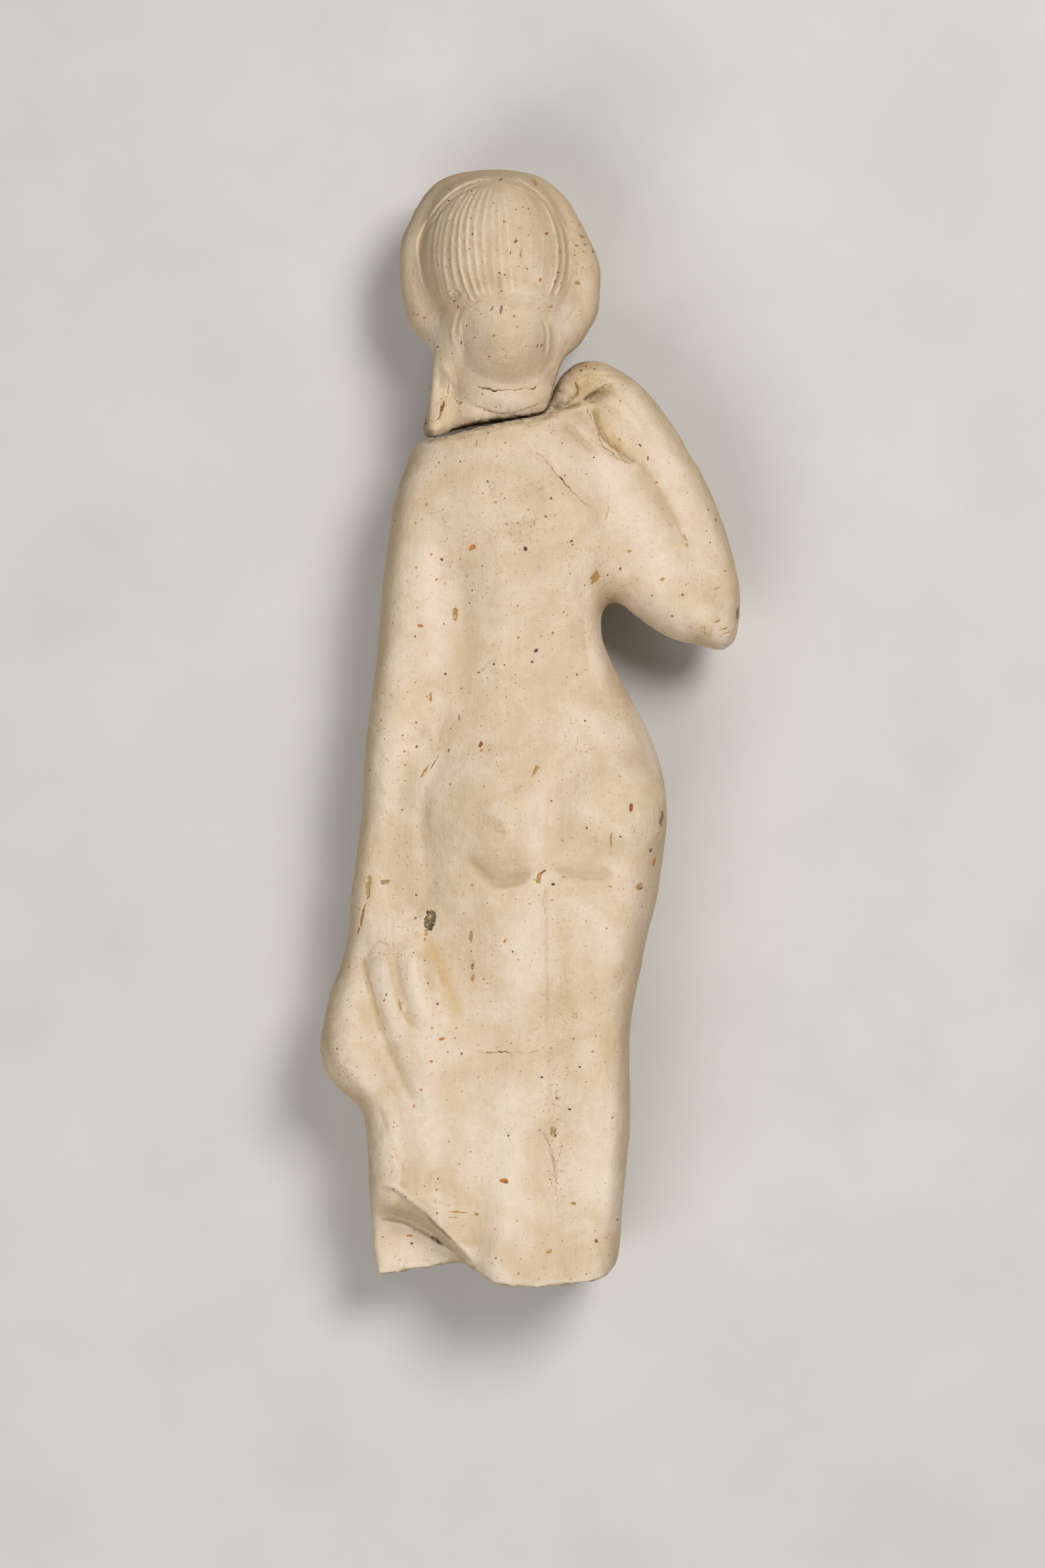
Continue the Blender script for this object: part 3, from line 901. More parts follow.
    ("brown", 5.1, 36.2, 0.3, 0.2, 0, -0.04), ("brown", 3.0, 32.9, 0.4, 0.3, 0, -0.1),
    ("ochre", 13.9, 38.3, 1.5, 0.30, -37, -0.06), ("ochre", 13.0, 39.0, 1.0, 0.25, -37, -0.06),
    ("black", 15.9, 40.5, 0.6, 0.25, -45, -0.12), ("grey", 17.0, 38.8, 0.4, 0.25, -40, -0.06),
    ("ochre", -7.7, 40.8, 1.4, 0.28, 88, -0.06), ("orange", -3.5, 40.9, 0.3, 0.25, 0, 0.0),
    ("orange", 3.1, 42.3, 0.3, 0.25, 0, 0.0), ("brown", -6.0, 42.3, 0.3, 0.2, 0, -0.08),
    ("orange", 8.1, 51.9, 0.5, 0.35, 30, -0.06), ("black", 7.4, 51.3, 0.4, 0.25, -45, -0.12),
    ("brown", 9.3, 51.5, 0.35, 0.25, 0, -0.08), ("ochre", 6.75, 48.6, 0.5, 0.3, 80, -0.05),
    ("orange", 13.0, 46.9, 0.3, 0.25, 0, -0.04), ("black", 4.35, 48.3, 0.25, 0.2, 0, -0.08),
]
HEAD_GRAINS = [
    ("grey", -2.0, 69.9, 0.75, 0.45, 35, -0.12), ("orange", 1.53, 64.3, 0.7, 0.4, 75, -0.06),
    ("red", 2.4, 71.0, 0.45, 0.35, 0, -0.08), ("orange", -3.7, 72.7, 0.34, 0.28, -30, -0.05),
    ("orange", -0.2, 70.8, 0.28, 0.25, 0, -0.04), ("black", -2.8, 68.2, 0.5, 0.18, 80, -0.1),
    ("ochre", 4.4, 68.4, 0.9, 0.3, 85, -0.06), ("ochre", -1.3, 68.2, 1.8, 0.35, 88, 0.0),
    ("slate", 1.57, 73.7, 0.65, 0.3, -35, -0.08), ("black", -1.0, 74.8, 0.25, 0.2, 0, -0.1),
    ("grey", -0.2, 74.6, 0.28, 0.25, 0, -0.08), ("black", -1.55, 71.8, 0.25, 0.2, 0, -0.1),
    ("black", -4.2, 78.8, 0.55, 0.2, 35, -0.12), ("olive", 0.7, 78.3, 1.2, 0.45, -60, -0.04),
    ("olive", 7.5, 70.6, 1.0, 0.4, -25, -0.04), ("olive", 6.7, 69.3, 0.5, 0.4, 0, -0.04),
    ("olive", 7.9, 69.4, 0.6, 0.3, 20, -0.03), ("olive", 6.45, 67.9, 0.4, 0.35, 0, -0.03),
    ("ochre", 5.1, 72.5, 0.8, 0.2, -50, -0.04), ("ochre", 7.2, 72.2, 0.5, 0.2, 0, -0.03),
    ("red", 7.7, 68.4, 0.28, 0.22, 0, -0.08), ("black", 9.05, 68.4, 0.45, 0.22, -60, -0.1),
    ("black", 4.1, 65.4, 0.32, 0.28, 0, -0.1), ("brown", 3.6, 64.1, 0.4, 0.2, 80, -0.08),
    ("orange", 4.5, 63.9, 0.28, 0.22, 0, -0.04), ("olive", 6.9, 63.9, 1.1, 0.7, -20, -0.03),
    ("black", -4.4, 65.3, 0.4, 0.16, -45, -0.1), ("black", -4.1, 62.7, 0.4, 0.2, 30, -0.1),
    ("ochre", 3.1, 60.5, 0.55, 0.3, 45, -0.04), ("grey", -4.15, 60.0, 1.3, 0.4, 82, -0.10),
    ("grey", -5.5, 60.2, 0.9, 0.25, 55, -0.08), ("grey", -2.25, 59.1, 0.45, 0.3, 80, -0.06),
    ("orange", -1.86, 57.6, 0.35, 0.25, 80, -0.05), ("brown", 1.13, 54.8, 0.7, 0.3, 80, -0.10),
    ("brown", 1.74, 54.9, 0.7, 0.28, 75, -0.10), ("slate", 1.1, 53.3, 0.7, 0.25, 75, -0.05),
    ("red", -5.85, 53.3, 0.42, 0.32, 0, -0.08), ("slate", -6.0, 52.8, 0.35, 0.25, 0, -0.04),
    ("ochre", -5.2, 56.3, 0.6, 0.4, 30, -0.04), ("ochre", -7.9, 56.0, 0.45, 0.3, 0, -0.04),
    ("black", -9.1, 57.7, 0.3, 0.2, 45, -0.10), ("brown", -9.9, 55.3, 0.6, 0.25, 80, -0.10),
    ("red", -13.3, 54.7, 0.32, 0.28, 0, -0.08), ("brown", -14.5, 55.7, 0.28, 0.22, 0, -0.08),
    ("olive", -11.2, 53.7, 0.4, 0.25, 0, -0.08), ("orange", -10.4, 60.4, 0.55, 0.28, 85, -0.06),
    ("brown", -10.9, 61.3, 0.45, 0.25, 30, -0.10), ("black", -10.5, 46.9, 0.45, 0.2, -60, -0.12),
    ("orange", -10.0, 46.6, 0.7, 0.45, 35, -0.06), ("brown", 0.7, 46.5, 0.42, 0.25, 85, -0.12),
    ("red", -4.9, 46.3, 0.26, 0.22, 0, -0.08), ("ochre", -10.1, 45.4, 0.4, 0.18, -50, -0.04),
    ("orange", -9.2, 44.1, 0.45, 0.28, 20, -0.04), ("brown", -12.6, 46.1, 1.7, 0.6, 72, -0.30),
    ("ochre", -11.8, 48.3, 0.8, 0.3, 85, -0.10), ("olive", -12.9, 45.1, 0.5, 0.3, 60, -0.12),
    ("black", -14.9, 43.6, 0.3, 0.25, 0, -0.12), ("red", -8.7, 68.8, 0.32, 0.26, 0, -0.06),
    ("black", -11.7, 75.8, 0.3, 0.25, 0, -0.08), ("ochre", -10.0, 62.2, 0.7, 0.25, 100, -0.08),
    ("grey", -11.6, 62.7, 0.7, 0.18, 40, -0.08), ("ochre", -0.5, 54.8, 0.32, 0.22, 0, -0.04),
    ("orange", -16.2, 59.3, 0.4, 0.3, -40, -0.04), ("ochre", -15.2, 58.9, 0.5, 0.3, 0, -0.04),
]
print("cracks:", len(BODY_CRACKS) + len(HEAD_CRACKS), "grains:", len(BODY_GRAINS) + len(HEAD_GRAINS))

# %% Split the skin round each crack and grain
WANDER = 0.3


def split_round(clay, cracks, grains, crack_reach, grain_reach):
    """Splits the faces near the cracks and grains, in plan, on the open back."""
    wanted = np.zeros(len(clay.at), bool)
    for seed, (points, _, _) in enumerate(cracks):
        wanted[measured(clay, jagged(points, WANDER, seed), crack_reach)[0]] = True
    plan = clay.plan
    for _, x, y, length, _, _, _ in grains:
        off = np.hypot(plan[:, 0] - x, plan[:, 1] - y)
        wanted |= (off < length / 2 + grain_reach) & (clay.facing > 0)
    split_faces(clay, wanted)
    face_up(clay)


split_round(body, BODY_CRACKS, BODY_GRAINS, 0.75, 0.45)
split_round(body, BODY_CRACKS, BODY_GRAINS, 0.35, 0.20)
split_round(head, HEAD_CRACKS, HEAD_GRAINS, 0.50, 0.30)
print("points now:", len(body.at), "body,", len(head.at), "head")

# %% Cut the cracks and press in the grains
GRAIN_COLOURS = {
    "orange": (0.480, 0.165, 0.020),
    "ochre": (0.420, 0.225, 0.060),
    "red": (0.290, 0.065, 0.014),
    "brown": (0.170, 0.095, 0.050),
    "black": (0.055, 0.042, 0.035),
    "grey": (0.210, 0.165, 0.120),
    "slate": (0.520, 0.460, 0.410),
    "olive": (0.330, 0.215, 0.090),
    "tan": (0.460, 0.300, 0.125),
    "tar": (0.130, 0.090, 0.040),
}
GRITTY = ("ochre", "olive", "tan", "brown", "slate", "tar")


def damaged(clay, cracks, grains):
    """Cuts the cracks and presses in the grains, and keeps the crack mark, the grain mark and its colour."""
    clay.crack, clay.grain = np.zeros(len(clay.at)), np.zeros(len(clay.at))
    clay.tint = np.tile(GRAIN_COLOURS["ochre"], (len(clay.at), 1))
    shift = np.zeros(len(clay.at))
    plan = clay.plan
    for seed, (points, width, depth) in enumerate(cracks):
        near, away, share, _ = measured(clay, jagged(points, WANDER, seed), 5 * width)
        ends = ease(0, 0.06, share) * ease(0, 0.06, 1 - share)
        ragged = np.array([0.7 + 0.7 * noise.noise(Vector((*plan[i] * 1.3, seed))) for i in near])
        shift[near] -= depth * np.clip(1 - away / (1.6 * width), 0, 1) * ends * ragged
        dirt = np.exp(-((away / (1.1 * width)) ** 2)) * ends * ragged * min(1, 0.45 + 1.8 * depth)
        clay.crack[near] = np.maximum(clay.crack[near], np.clip(dirt, 0, 1))
    for kind, x, y, length, width, turn, height in grains:
        a = np.radians(turn)
        off = plan - (x, y)
        near = np.flatnonzero((np.hypot(*off.T) < length) & (clay.facing > 0))
        u = (off[near, 0] * np.cos(a) + off[near, 1] * np.sin(a)) / (length / 2)
        v = (off[near, 1] * np.cos(a) - off[near, 0] * np.sin(a)) / (width / 2)
        ragged = 0.15 if kind == "tar" else 0.36
        wobble = np.array([ragged * noise.fractal(Vector((*plan[i] * 2.0, x)), 0.8, 2.0, 2) for i in near])
        r = np.hypot(u, v) + wobble
        shift[near] += height * ease(1.15, 0.35, r)
        amount = ease(1.12, 0.80, r) * (0.62 if kind in GRITTY and length > 0.6 else 1.0)
        closer = amount >= clay.grain[near]
        clay.tint[near[closer]] = GRAIN_COLOURS[kind]
        clay.grain[near] = np.maximum(clay.grain[near], amount)
    clay.at[:, 2] += shift * clay.facing


damaged(body, BODY_CRACKS, BODY_GRAINS)
damaged(head, HEAD_CRACKS, HEAD_GRAINS)
body.write()
head.write()
print("deepest crack mark:", round(float(body.crack.max()), 2), round(float(head.crack.max()), 2))

# %% [markdown]
# ## Soil stains
#
# Years in the ground left soft stains: tan in the grooves, brown on the broken edges, a yellow bloom beside
# the hanging hand. Rubbed places are paler or pinker instead. Both are painted as soft strokes, like the
# grooves, and kept as an amount and a colour for each point. Crumbs of soil cling along a few strokes more.
# The material breaks all of them up with noise later.

# %% Strokes of soil
STAIN_COLOURS = {
    "pale": (0.815, 0.700, 0.600),
    "pink": (0.640, 0.500, 0.405),
    "lilac": (0.480, 0.370, 0.290),
    "beige": (0.560, 0.445, 0.285),
    "tan": (0.420, 0.300, 0.165),
    "ochre": (0.480, 0.270, 0.100),
    "yellow": (0.610, 0.420, 0.180),
    "brown": (0.210, 0.130, 0.070),
    "soot": (0.055, 0.045, 0.035),
}
# Each stain: colour, places, width, strength
BODY_STAINS = [
    ("pale", [(-15.0, 28), (-13.6, 20), (-13.2, 12), (-14.0, 5)], 2.0, 0.60),
    ("pale", [(7.5, 41), (11.0, 36), (15.0, 30), (18.5, 24), (22.0, 19)], 2.6, 0.60),
    ("pale", [(15.6, 43), (19.6, 36), (23.0, 28), (26.0, 20)], 1.8, 0.45),
    ("pale", [(1.4, -8), (0.6, -14), (0.8, -19.5)], 1.5, 0.70),
    ("pale", [(-2.2, -25), (-1.6, -34), (-1.8, -46)], 2.4, 0.50),
    ("pale", [(12.0, -62.0), (12.4, -74.0)], 1.4, 0.40),
    ("pale", [(-3.6, -48), (-3.0, -58), (-3.0, -68), (-2.4, -76)], 3.0, 0.75),
    ("pale", [(-17.0, -48), (-14.4, -58), (-13.0, -65)], 2.8, 0.75),
    ("pale", [(-22.2, -33), (-20.6, -40), (-17.6, -47)], 0.9, 0.65),
    ("pale", [(-17.4, -32.6), (-16.6, -38), (-14.6, -43)], 0.8, 0.60),
    ("pale", [(9.6, -50), (9.8, -60), (9.0, -70)], 2.6, 0.45),
    ("pale", [(-19.6, -73), (-15.6, -75.6)], 1.6, 0.55),
    ("pale", [(14.4, 4), (17.0, -2), (18.4, -8)], 0.8, 0.45),
    ("yellow", [(9.3, 46.2), (10.2, 44.0), (11.2, 42.4), (12.8, 40.9), (14.6, 39.4), (16.0, 37.9)],
         0.85, 0.50),
    ("tan", [(9.0, 46.2), (9.8, 44.0), (10.6, 42.2), (12.0, 40.6), (13.8, 39.2), (15.6, 37.8)], 0.42, 0.85),
    ("ochre", [(9.4, 44.0), (10.1, 42.0), (11.6, 40.5), (13.2, 39.3)], 0.22, 0.60),
    ("beige", [(8.4, 43.4), (9.6, 41.2), (11.2, 39.6), (13.6, 38.2)], 0.6, 0.60),
    ("ochre", [(15.2, 38.6), (18.0, 35.0), (20.2, 31.0), (21.6, 28.2), (22.2, 26.0)], 0.20, 0.50),
    ("beige", [(15.6, 37.8), (18.0, 34.6), (20.0, 31.2), (21.4, 28.0)], 0.9, 0.50),
    ("beige", [(4.6, 44.4), (6.2, 43.0), (7.4, 41.6), (9.0, 39.8)], 0.6, 0.50),
    ("yellow", [(5.0, 49.6), (7.0, 48.8), (8.6, 49.4), (11.6, 50.4)], 2.8, 0.50),
    ("tan", [(4.4, 48.6), (6.0, 48.4), (7.6, 49.0)], 2.0, 0.65),
    ("brown", [(4.2, 50.6), (5.0, 51.6), (6.6, 52.5), (8.4, 52.7)], 0.55, 0.75),
    ("tan", [(5.6, 51.8), (4.6, 50.2), (4.6, 48.4), (4.4, 46.8)], 1.2, 0.85),
    ("tan", [(7.2, 50.9), (8.4, 49.8), (8.2, 48.4), (6.6, 46.8)], 1.2, 0.75),
    ("brown", [(4.2, 50.0), (3.9, 48.2), (4.2, 46.6), (6.0, 46.5)], 0.9, 0.80),
    ("soot", [(3.9, 50.2), (3.4, 49.0), (3.1, 47.6), (3.0, 46.3)], 0.55, 0.95),
    ("soot", [(3.0, 45.8), (4.0, 46.3), (5.2, 46.4)], 0.45, 0.90),
    ("brown", [(7.6, 47.0), (8.8, 47.4), (10.2, 48.2), (11.4, 49.0)], 0.60, 0.70),
    ("tan", [(8.0, 47.2), (9.6, 47.4), (11.2, 48.4), (12.4, 49.4)], 0.9, 0.85),
    ("soot", [(7.6, 46.9), (8.2, 47.4), (9.0, 47.8), (10.2, 48.4)], 0.25, 0.70),
    ("brown", [(5.0, 46.0), (6.4, 46.3), (7.5, 46.8)], 0.35, 0.75),
    ("brown", [(6.4, 49.8), (7.0, 48.6), (6.4, 47.4), (5.2, 46.4)], 0.25, 0.60),
    ("tan", [(-14, 41.2), (-10, 41.6), (-6.7, 42.4), (-3, 43.4), (1.5, 44.1), (3.5, 45.3)], 0.30, 0.60),
    ("ochre", [(1.6, 43.9), (3.4, 45.0), (5.0, 45.6)], 0.35, 0.45),
    ("soot", [(-14.3, -73.3), (-13.4, -73.9), (-12.4, -74.6)], 0.25, 0.55),
    ("brown", [(-21.5, -70.9), (-18.8, -71.3), (-17.1, -71.9), (-15.3, -72.9), (-13.4, -74.0),
         (-11.1, -75.4)], 0.18, 0.45),
    ("brown", [(-15.4, -70.0), (-13.6, -71.9), (-12.4, -72.9), (-11.3, -74)], 0.20, 0.45),
    ("beige", [(-20.5, -67.8), (-16.8, -69.6), (-13.6, -72.4)], 0.9, 0.60),
    ("yellow", [(-15.4, -30.0), (-13.8, -32.4), (-12.4, -36.0), (-11.0, -39.6), (-9.6, -42.5)], 1.1, 0.70),
    ("ochre", [(-12.8, -35.4), (-12.4, -37.6)], 0.5, 0.35),
    ("tan", [(-8.5, -29.0), (-8.4, -33), (-8.2, -38.0)], 0.5, 0.20),
    ("beige", [(4.6, -23), (5.2, -34), (5.4, -46), (5.4, -60)], 1.8, 0.20),
    ("ochre", [(2.4, -23), (2.3, -30), (2.6, -40), (2.9, -52), (3.2, -60)], 0.30, 0.20),
    ("tan", [(-29.2, -42), (-28.6, -47), (-25.6, -51), (-23.4, -55)], 0.8, 0.45),
    ("beige", [(-26.0, -40), (-25.4, -46), (-23.0, -50)], 1.6, 0.20),
    ("tan", [(-7.2, -13.4), (-4.8, -14.0), (-3.2, -16.4)], 0.7, 0.40),
    ("beige", [(-8.8, 26), (-8.6, 18), (-8.6, 10), (-10.0, 3)], 1.4, 0.60),
    ("beige", [(-13.6, -7), (-13.4, -16), (-12.6, -24), (-11.0, -29)], 2.6, 0.40),
    ("beige", [(-9.4, -4), (-9.6, -10), (-9.4, -15), (-7.4, -19.6)], 2.6, 0.55),
    ("tan", [(-10.0, -17.4), (-6.8, -20.6), (-4.6, -21.5), (-2.4, -21.3), (0.4, -20.2)], 1.2, 0.50),
    ("beige", [(-9.4, -19.6), (-6.8, -22.3), (-4.6, -23.2), (-2.4, -23.0), (0.2, -22.0)], 0.5, 0.60),
    ("beige", [(4.0, -21.8), (7.3, -22.4), (10.8, -22.4), (12.6, -21.9)], 0.45, 0.55),
    ("tan", [(-15.0, -9.0), (-15.2, -14.0), (-14.8, -20.0), (-13.8, -25.5)], 0.8, 0.15),
    ("beige", [(-1.0, -47.4), (4.0, -47.0), (8.0, -46.4)], 1.2, 0.30),
    ("yellow", [(10.8, -40.0), (11.4, -46.0), (10.8, -54.0)], 1.5, 0.22),
    ("pale", [(12.6, -28.0), (12.2, -36.0)], 1.5, 0.35),
    ("yellow", [(4.0, -27.0), (5.4, -33.0), (5.0, -42.0)], 1.2, 0.35),
    ("yellow", [(-3.8, -4.6), (-2.0, -9.0), (-4.0, -13.0)], 1.6, 0.25),
    ("pink", [(14.6, -20.0), (16.4, -27.0), (17.2, -33.0)], 1.6, 0.35),
    ("pink", [(0.0, 14.0), (3.0, 9.0), (2.0, 3.0)], 1.4, 0.25),
    ("beige", [(-17.2, -3.0), (-17.6, -9.0), (-18.0, -14.0)], 1.6, 0.60),
    ("beige", [(-16.4, 33.0), (-16.6, 27.0), (-18.0, 21.0)], 1.4, 0.35),
    ("beige", [(11.2, 3.4), (13.2, -1.6)], 1.6, 0.35),
    ("beige", [(-3.6, 38.6), (-1.0, 36.0), (2.4, 35.4)], 1.6, 0.40),
    ("beige", [(2.8, -19.6), (5.0, -20.6), (8.4, -21.0), (12.4, -20.8)], 1.1, 0.60),
    ("beige", [(4.6, -10), (4.8, -15), (5.6, -19)], 1.4, 0.40),
    ("ochre", [(-20.6, -31), (-19.8, -36), (-18.7, -40.5), (-17.0, -43.4)], 0.25, 0.45),
    ("ochre", [(-24.0, -33), (-23.0, -37), (-21.6, -42)], 0.25, 0.45),
    ("beige", [(-20.6, -45), (-18.8, -49.6), (-16.6, -54.0)], 0.5, 0.45),
    ("beige", [(-20.4, -31.5), (-19.4, -36.5), (-18.2, -41)], 0.7, 0.50),
    ("ochre", [(-21.6, -54.5), (-20.3, -59.0), (-18.8, -62.7)], 0.20, 0.35),
    ("pale", [(-8.4, -48), (-8.2, -56), (-8.0, -64)], 2.0, 0.35),
    ("pale", [(-20.8, -57), (-20.4, -65)], 1.4, 0.45),
    ("pale", [(26.4, 17.0), (27.6, 13.8), (25.4, 12.6)], 1.2, 0.40),
    ("pale", [(12.4, 18.8), (16.6, 17.6), (20.6, 15.0), (24.6, 12.6)], 1.5, 0.65),
    ("pale", [(10.2, 17.0), (10.0, 12.0), (10.8, 7.0)], 1.1, 0.45),
    ("brown", [(1.8, -58.0), (2.9, -60.4), (3.4, -62.6), (3.8, -66.0)], 0.16, 0.55),
    ("yellow", [(-6.0, -69.6), (-2.0, -70.4), (2.6, -74.0)], 1.0, 0.25),
    ("tan", [(-5, 31.4), (-2, 28.9), (2, 30.4), (5, 30.0)], 1.6, 0.20),
    ("tan", [(-1, 35.0), (2, 33.2), (4, 32.4)], 1.2, 0.30),
    ("tan", [(-15.5, 33), (-13.5, 30.6), (-11, 29.6)], 0.8, 0.25),
    ("ochre", [(-8.2, 26.6), (-8.4, 25.0)], 0.9, 0.25),
]
HEAD_STAINS = [
    ("brown", [(-15.2, 42.8), (-14.2, 42.2), (-12.6, 42.4), (-11.4, 42.9)], 0.50, 0.70),
    ("tan", [(-10.4, 43.6), (-6, 43.9), (-2, 44.6), (2.6, 45.6)], 0.50, 0.60),
    ("brown", [(-4.6, 44.2), (-2, 44.8), (0.4, 45.4), (2.3, 45.7)], 0.35, 0.60),
    ("ochre", [(-12.2, 47.6), (-12.7, 45.4), (-13.1, 44.0)], 0.35, 0.50),
    ("beige", [(-9.6, 54.6), (-8.8, 52.0), (-6.0, 50.4), (-1.0, 50.2)], 1.5, 0.60),
    ("tan", [(-6.6, 58.4), (-5.0, 56.0), (-3.0, 54.4), (-4.0, 52.2)], 2.2, 0.42),
    ("beige", [(-8.0, 57.0), (-2.0, 57.6), (1.0, 55.8)], 2.2, 0.60),
    ("lilac", [(2.4, 58.4), (2.9, 54.6), (1.8, 51.4)], 1.2, 0.40),
    ("pink", [(-9.4, 52.6), (-7.0, 50.4), (-3.0, 49.6), (1.0, 50.2)], 0.9, 0.45),
    ("pink", [(5.2, 60.0), (6.8, 63.4)], 1.4, 0.35),
    ("tan", [(-13.6, 71.0), (-13.8, 66.0), (-12.2, 61.6)], 1.2, 0.15),
    ("tan", [(-11.0, 74.0), (-11.4, 67.0), (-9.8, 62.4)], 1.2, 0.22),
    ("tan", [(3.4, 74.4), (5.0, 70.6), (5.2, 66.0)], 0.3, 0.20),
    ("tan", [(-3.6, 78.2), (-0.6, 77.4), (2.0, 75.2)], 0.5, 0.30),
    ("tan", [(-5.6, 72.0), (-5.8, 66.0), (-4.6, 61.8)], 0.9, 0.25),
    ("brown", [(-15.0, 45.0), (-15.2, 43.0), (-14.0, 42.0), (-12.4, 42.1)], 0.45, 0.65),
    ("tan", [(-4.4, 65.4), (-4.2, 61.0)], 0.45, 0.40),
    ("tan", [(-1.4, 69.6), (-1.3, 66.6)], 0.35, 0.30),
    ("beige", [(-15.2, 70.5), (-15.2, 67.5), (-14.4, 63.5)], 0.8, 0.30),
    ("beige", [(-2.5, 76), (0.5, 73), (0.8, 69.5)], 1.6, 0.45),
    ("tan", [(-10.8, 62.6), (-10.0, 61.6)], 0.6, 0.45),
    ("beige", [(2.4, 55), (2.2, 52.6)], 0.8, 0.25),
    ("pale", [(-6.6, 46.9), (-3.4, 46.6), (1.2, 47.2)], 1.6, 0.65),
    ("pale", [(-8.6, 46.6), (-6.0, 45.6)], 1.2, 0.40),
    ("pale", [(6.4, 62.0), (4.8, 59.6), (5.4, 55.0)], 1.2, 0.50),
    ("pale", [(1.2, 66.8), (1.0, 63.6)], 0.9, 0.55),
    ("pale", [(7.6, 66), (7.8, 62)], 1.0, 0.30),
    ("beige", [(-14.6, 74), (-16.6, 70)], 0.9, 0.30),
    ("pale", [(-14.4, 60.0), (-13.6, 56.0), (-12.6, 53.0)], 1.2, 0.40),
    ("yellow", [(6.2, 70.4), (7.2, 70.2)], 0.55, 0.70),
    ("yellow", [(6.6, 68.4), (7.6, 68.2)], 0.45, 0.60),
    ("yellow", [(6.3, 64.2), (7.4, 63.8)], 0.55, 0.70),
    ("ochre", [(-0.2, 78.9), (0.6, 78.5), (0.9, 77.9)], 0.28, 0.70),
    ("yellow", [(4.6, 72.6), (5.2, 71.6)], 0.4, 0.50),
]
# Each trail of crumbs: places, width, strength
BODY_CRUMBS = [
    ([(-6.4, 30.4), (-3.0, 28.4), (1.0, 29.4), (5.8, 30.2)], 2.0, 0.90),
    ([(-3.6, 33.6), (0.6, 35.0), (4.0, 33.0)], 1.8, 0.75),
    ([(-17.0, 32.6), (-14.0, 31.2), (-11.0, 30.0)], 1.0, 0.75),
    ([(-9.8, 24.4), (-8.8, 21.6), (-8.6, 17.6)], 1.4, 0.60),
    ([(-29.0, -44.0), (-27.0, -50.0), (-24.0, -54.0)], 1.6, 0.80),
    ([(-7.6, -12.4), (-4.6, -13.8), (-2.8, -17.6)], 1.2, 0.60),
    ([(3.6, -26.0), (4.4, -40.0), (3.6, -58.0), (6.0, -74.0)], 1.8, 0.55),
    ([(-20.8, -68.4), (-16.0, -70.6), (-11.6, -75.0)], 1.4, 0.70),
    ([(5.6, 51.0), (8.6, 49.4), (11.8, 50.0)], 1.8, 0.60),
    ([(-12.4, -26.6), (-8.6, -29.0), (-8.4, -37.0)], 1.2, 0.50),
    ([(-15.8, -2.0), (-13.0, -3.4), (-10.4, -2.4)], 1.6, 0.45),
    ([(26.6, 21.0), (27.8, 14.4)], 1.6, 0.45),
]
HEAD_CRUMBS = [
    ([(-14.0, 44.0), (-10.0, 43.4), (-2.0, 45.0), (2.4, 46.4)], 0.8, 0.80),
    ([(-12.0, 62.4), (-9.6, 61.0), (-3.0, 60.0)], 1.2, 0.70),
    ([(5.6, 72.4), (7.2, 69.0), (7.0, 63.6)], 1.2, 0.70),
    ([(-6.4, 57.0), (-3.0, 54.0), (-5.6, 52.6)], 1.8, 0.50),
    ([(-2.4, 77.0), (1.0, 73.4), (1.4, 69.6)], 2.0, 0.50),
    ([(-17.6, 62.0), (-15.0, 57.6)], 1.4, 0.50),
]


def stained(clay, strokes, crumbs):
    """Paints soft strokes in plan and keeps how much and of what colour, and where soil crumbs cling."""
    facing = clay.facing
    clay.facing = ease(-0.35, 0.1, clay.out[:, 2])
    clay.crumbs = np.zeros(len(clay.at))
    for points, width, strength in crumbs:
        near, away, share, _ = measured(clay, traced(points), 2.4 * width)
        ends = ease(0, 0.25, share) * ease(0, 0.25, 1 - share)
        clay.crumbs[near] = np.maximum(clay.crumbs[near], strength * np.exp(-((away / width) ** 2)) * ends)
    clay.soil = np.zeros(len(clay.at))
    clay.soil_tint = np.tile(STAIN_COLOURS["tan"], (len(clay.at), 1))
    for kind, points, width, strength in strokes:
        line = traced(points)
        near, away, share, _ = measured(clay, line, 2.4 * width)
        fade = min(0.5, 2.0 * width / np.hypot(*np.diff(line, axis=0).T).sum())
        ends = ease(0, fade, share) * ease(0, fade, 1 - share)
        dab = strength * np.exp(-((away / width) ** 2)) * ends * clay.facing[near]
        laid = dab + clay.soil[near] * (1 - dab)
        part = (dab / (laid + 1e-6))[:, None]
        clay.soil_tint[near] = clay.soil_tint[near] * (1 - part) + np.array(STAIN_COLOURS[kind]) * part
        clay.soil[near] = laid
    clay.facing = facing


stained(body, BODY_STAINS, BODY_CRUMBS)
stained(head, HEAD_STAINS, HEAD_CRUMBS)
print("stain strokes:", len(BODY_STAINS) + len(HEAD_STAINS))

# %% [markdown]
# ## Wear, breaks and the mould seam
#
# Handling leaves a clay skin that is never quite even, and a break is rough and crumbly. Two sizes of noise
# pushed along the normals do both: faint on the skin, strong on the breaks. Along the seam, where the mould
# halves met, a thin uneven burr stands out.

# %% Undulate the skin, crumble the breaks, raise the seam
SEAM_LEVEL = 13.6
SEAM_WIDTH = 0.45
SEAM_HEIGHT = 0.14


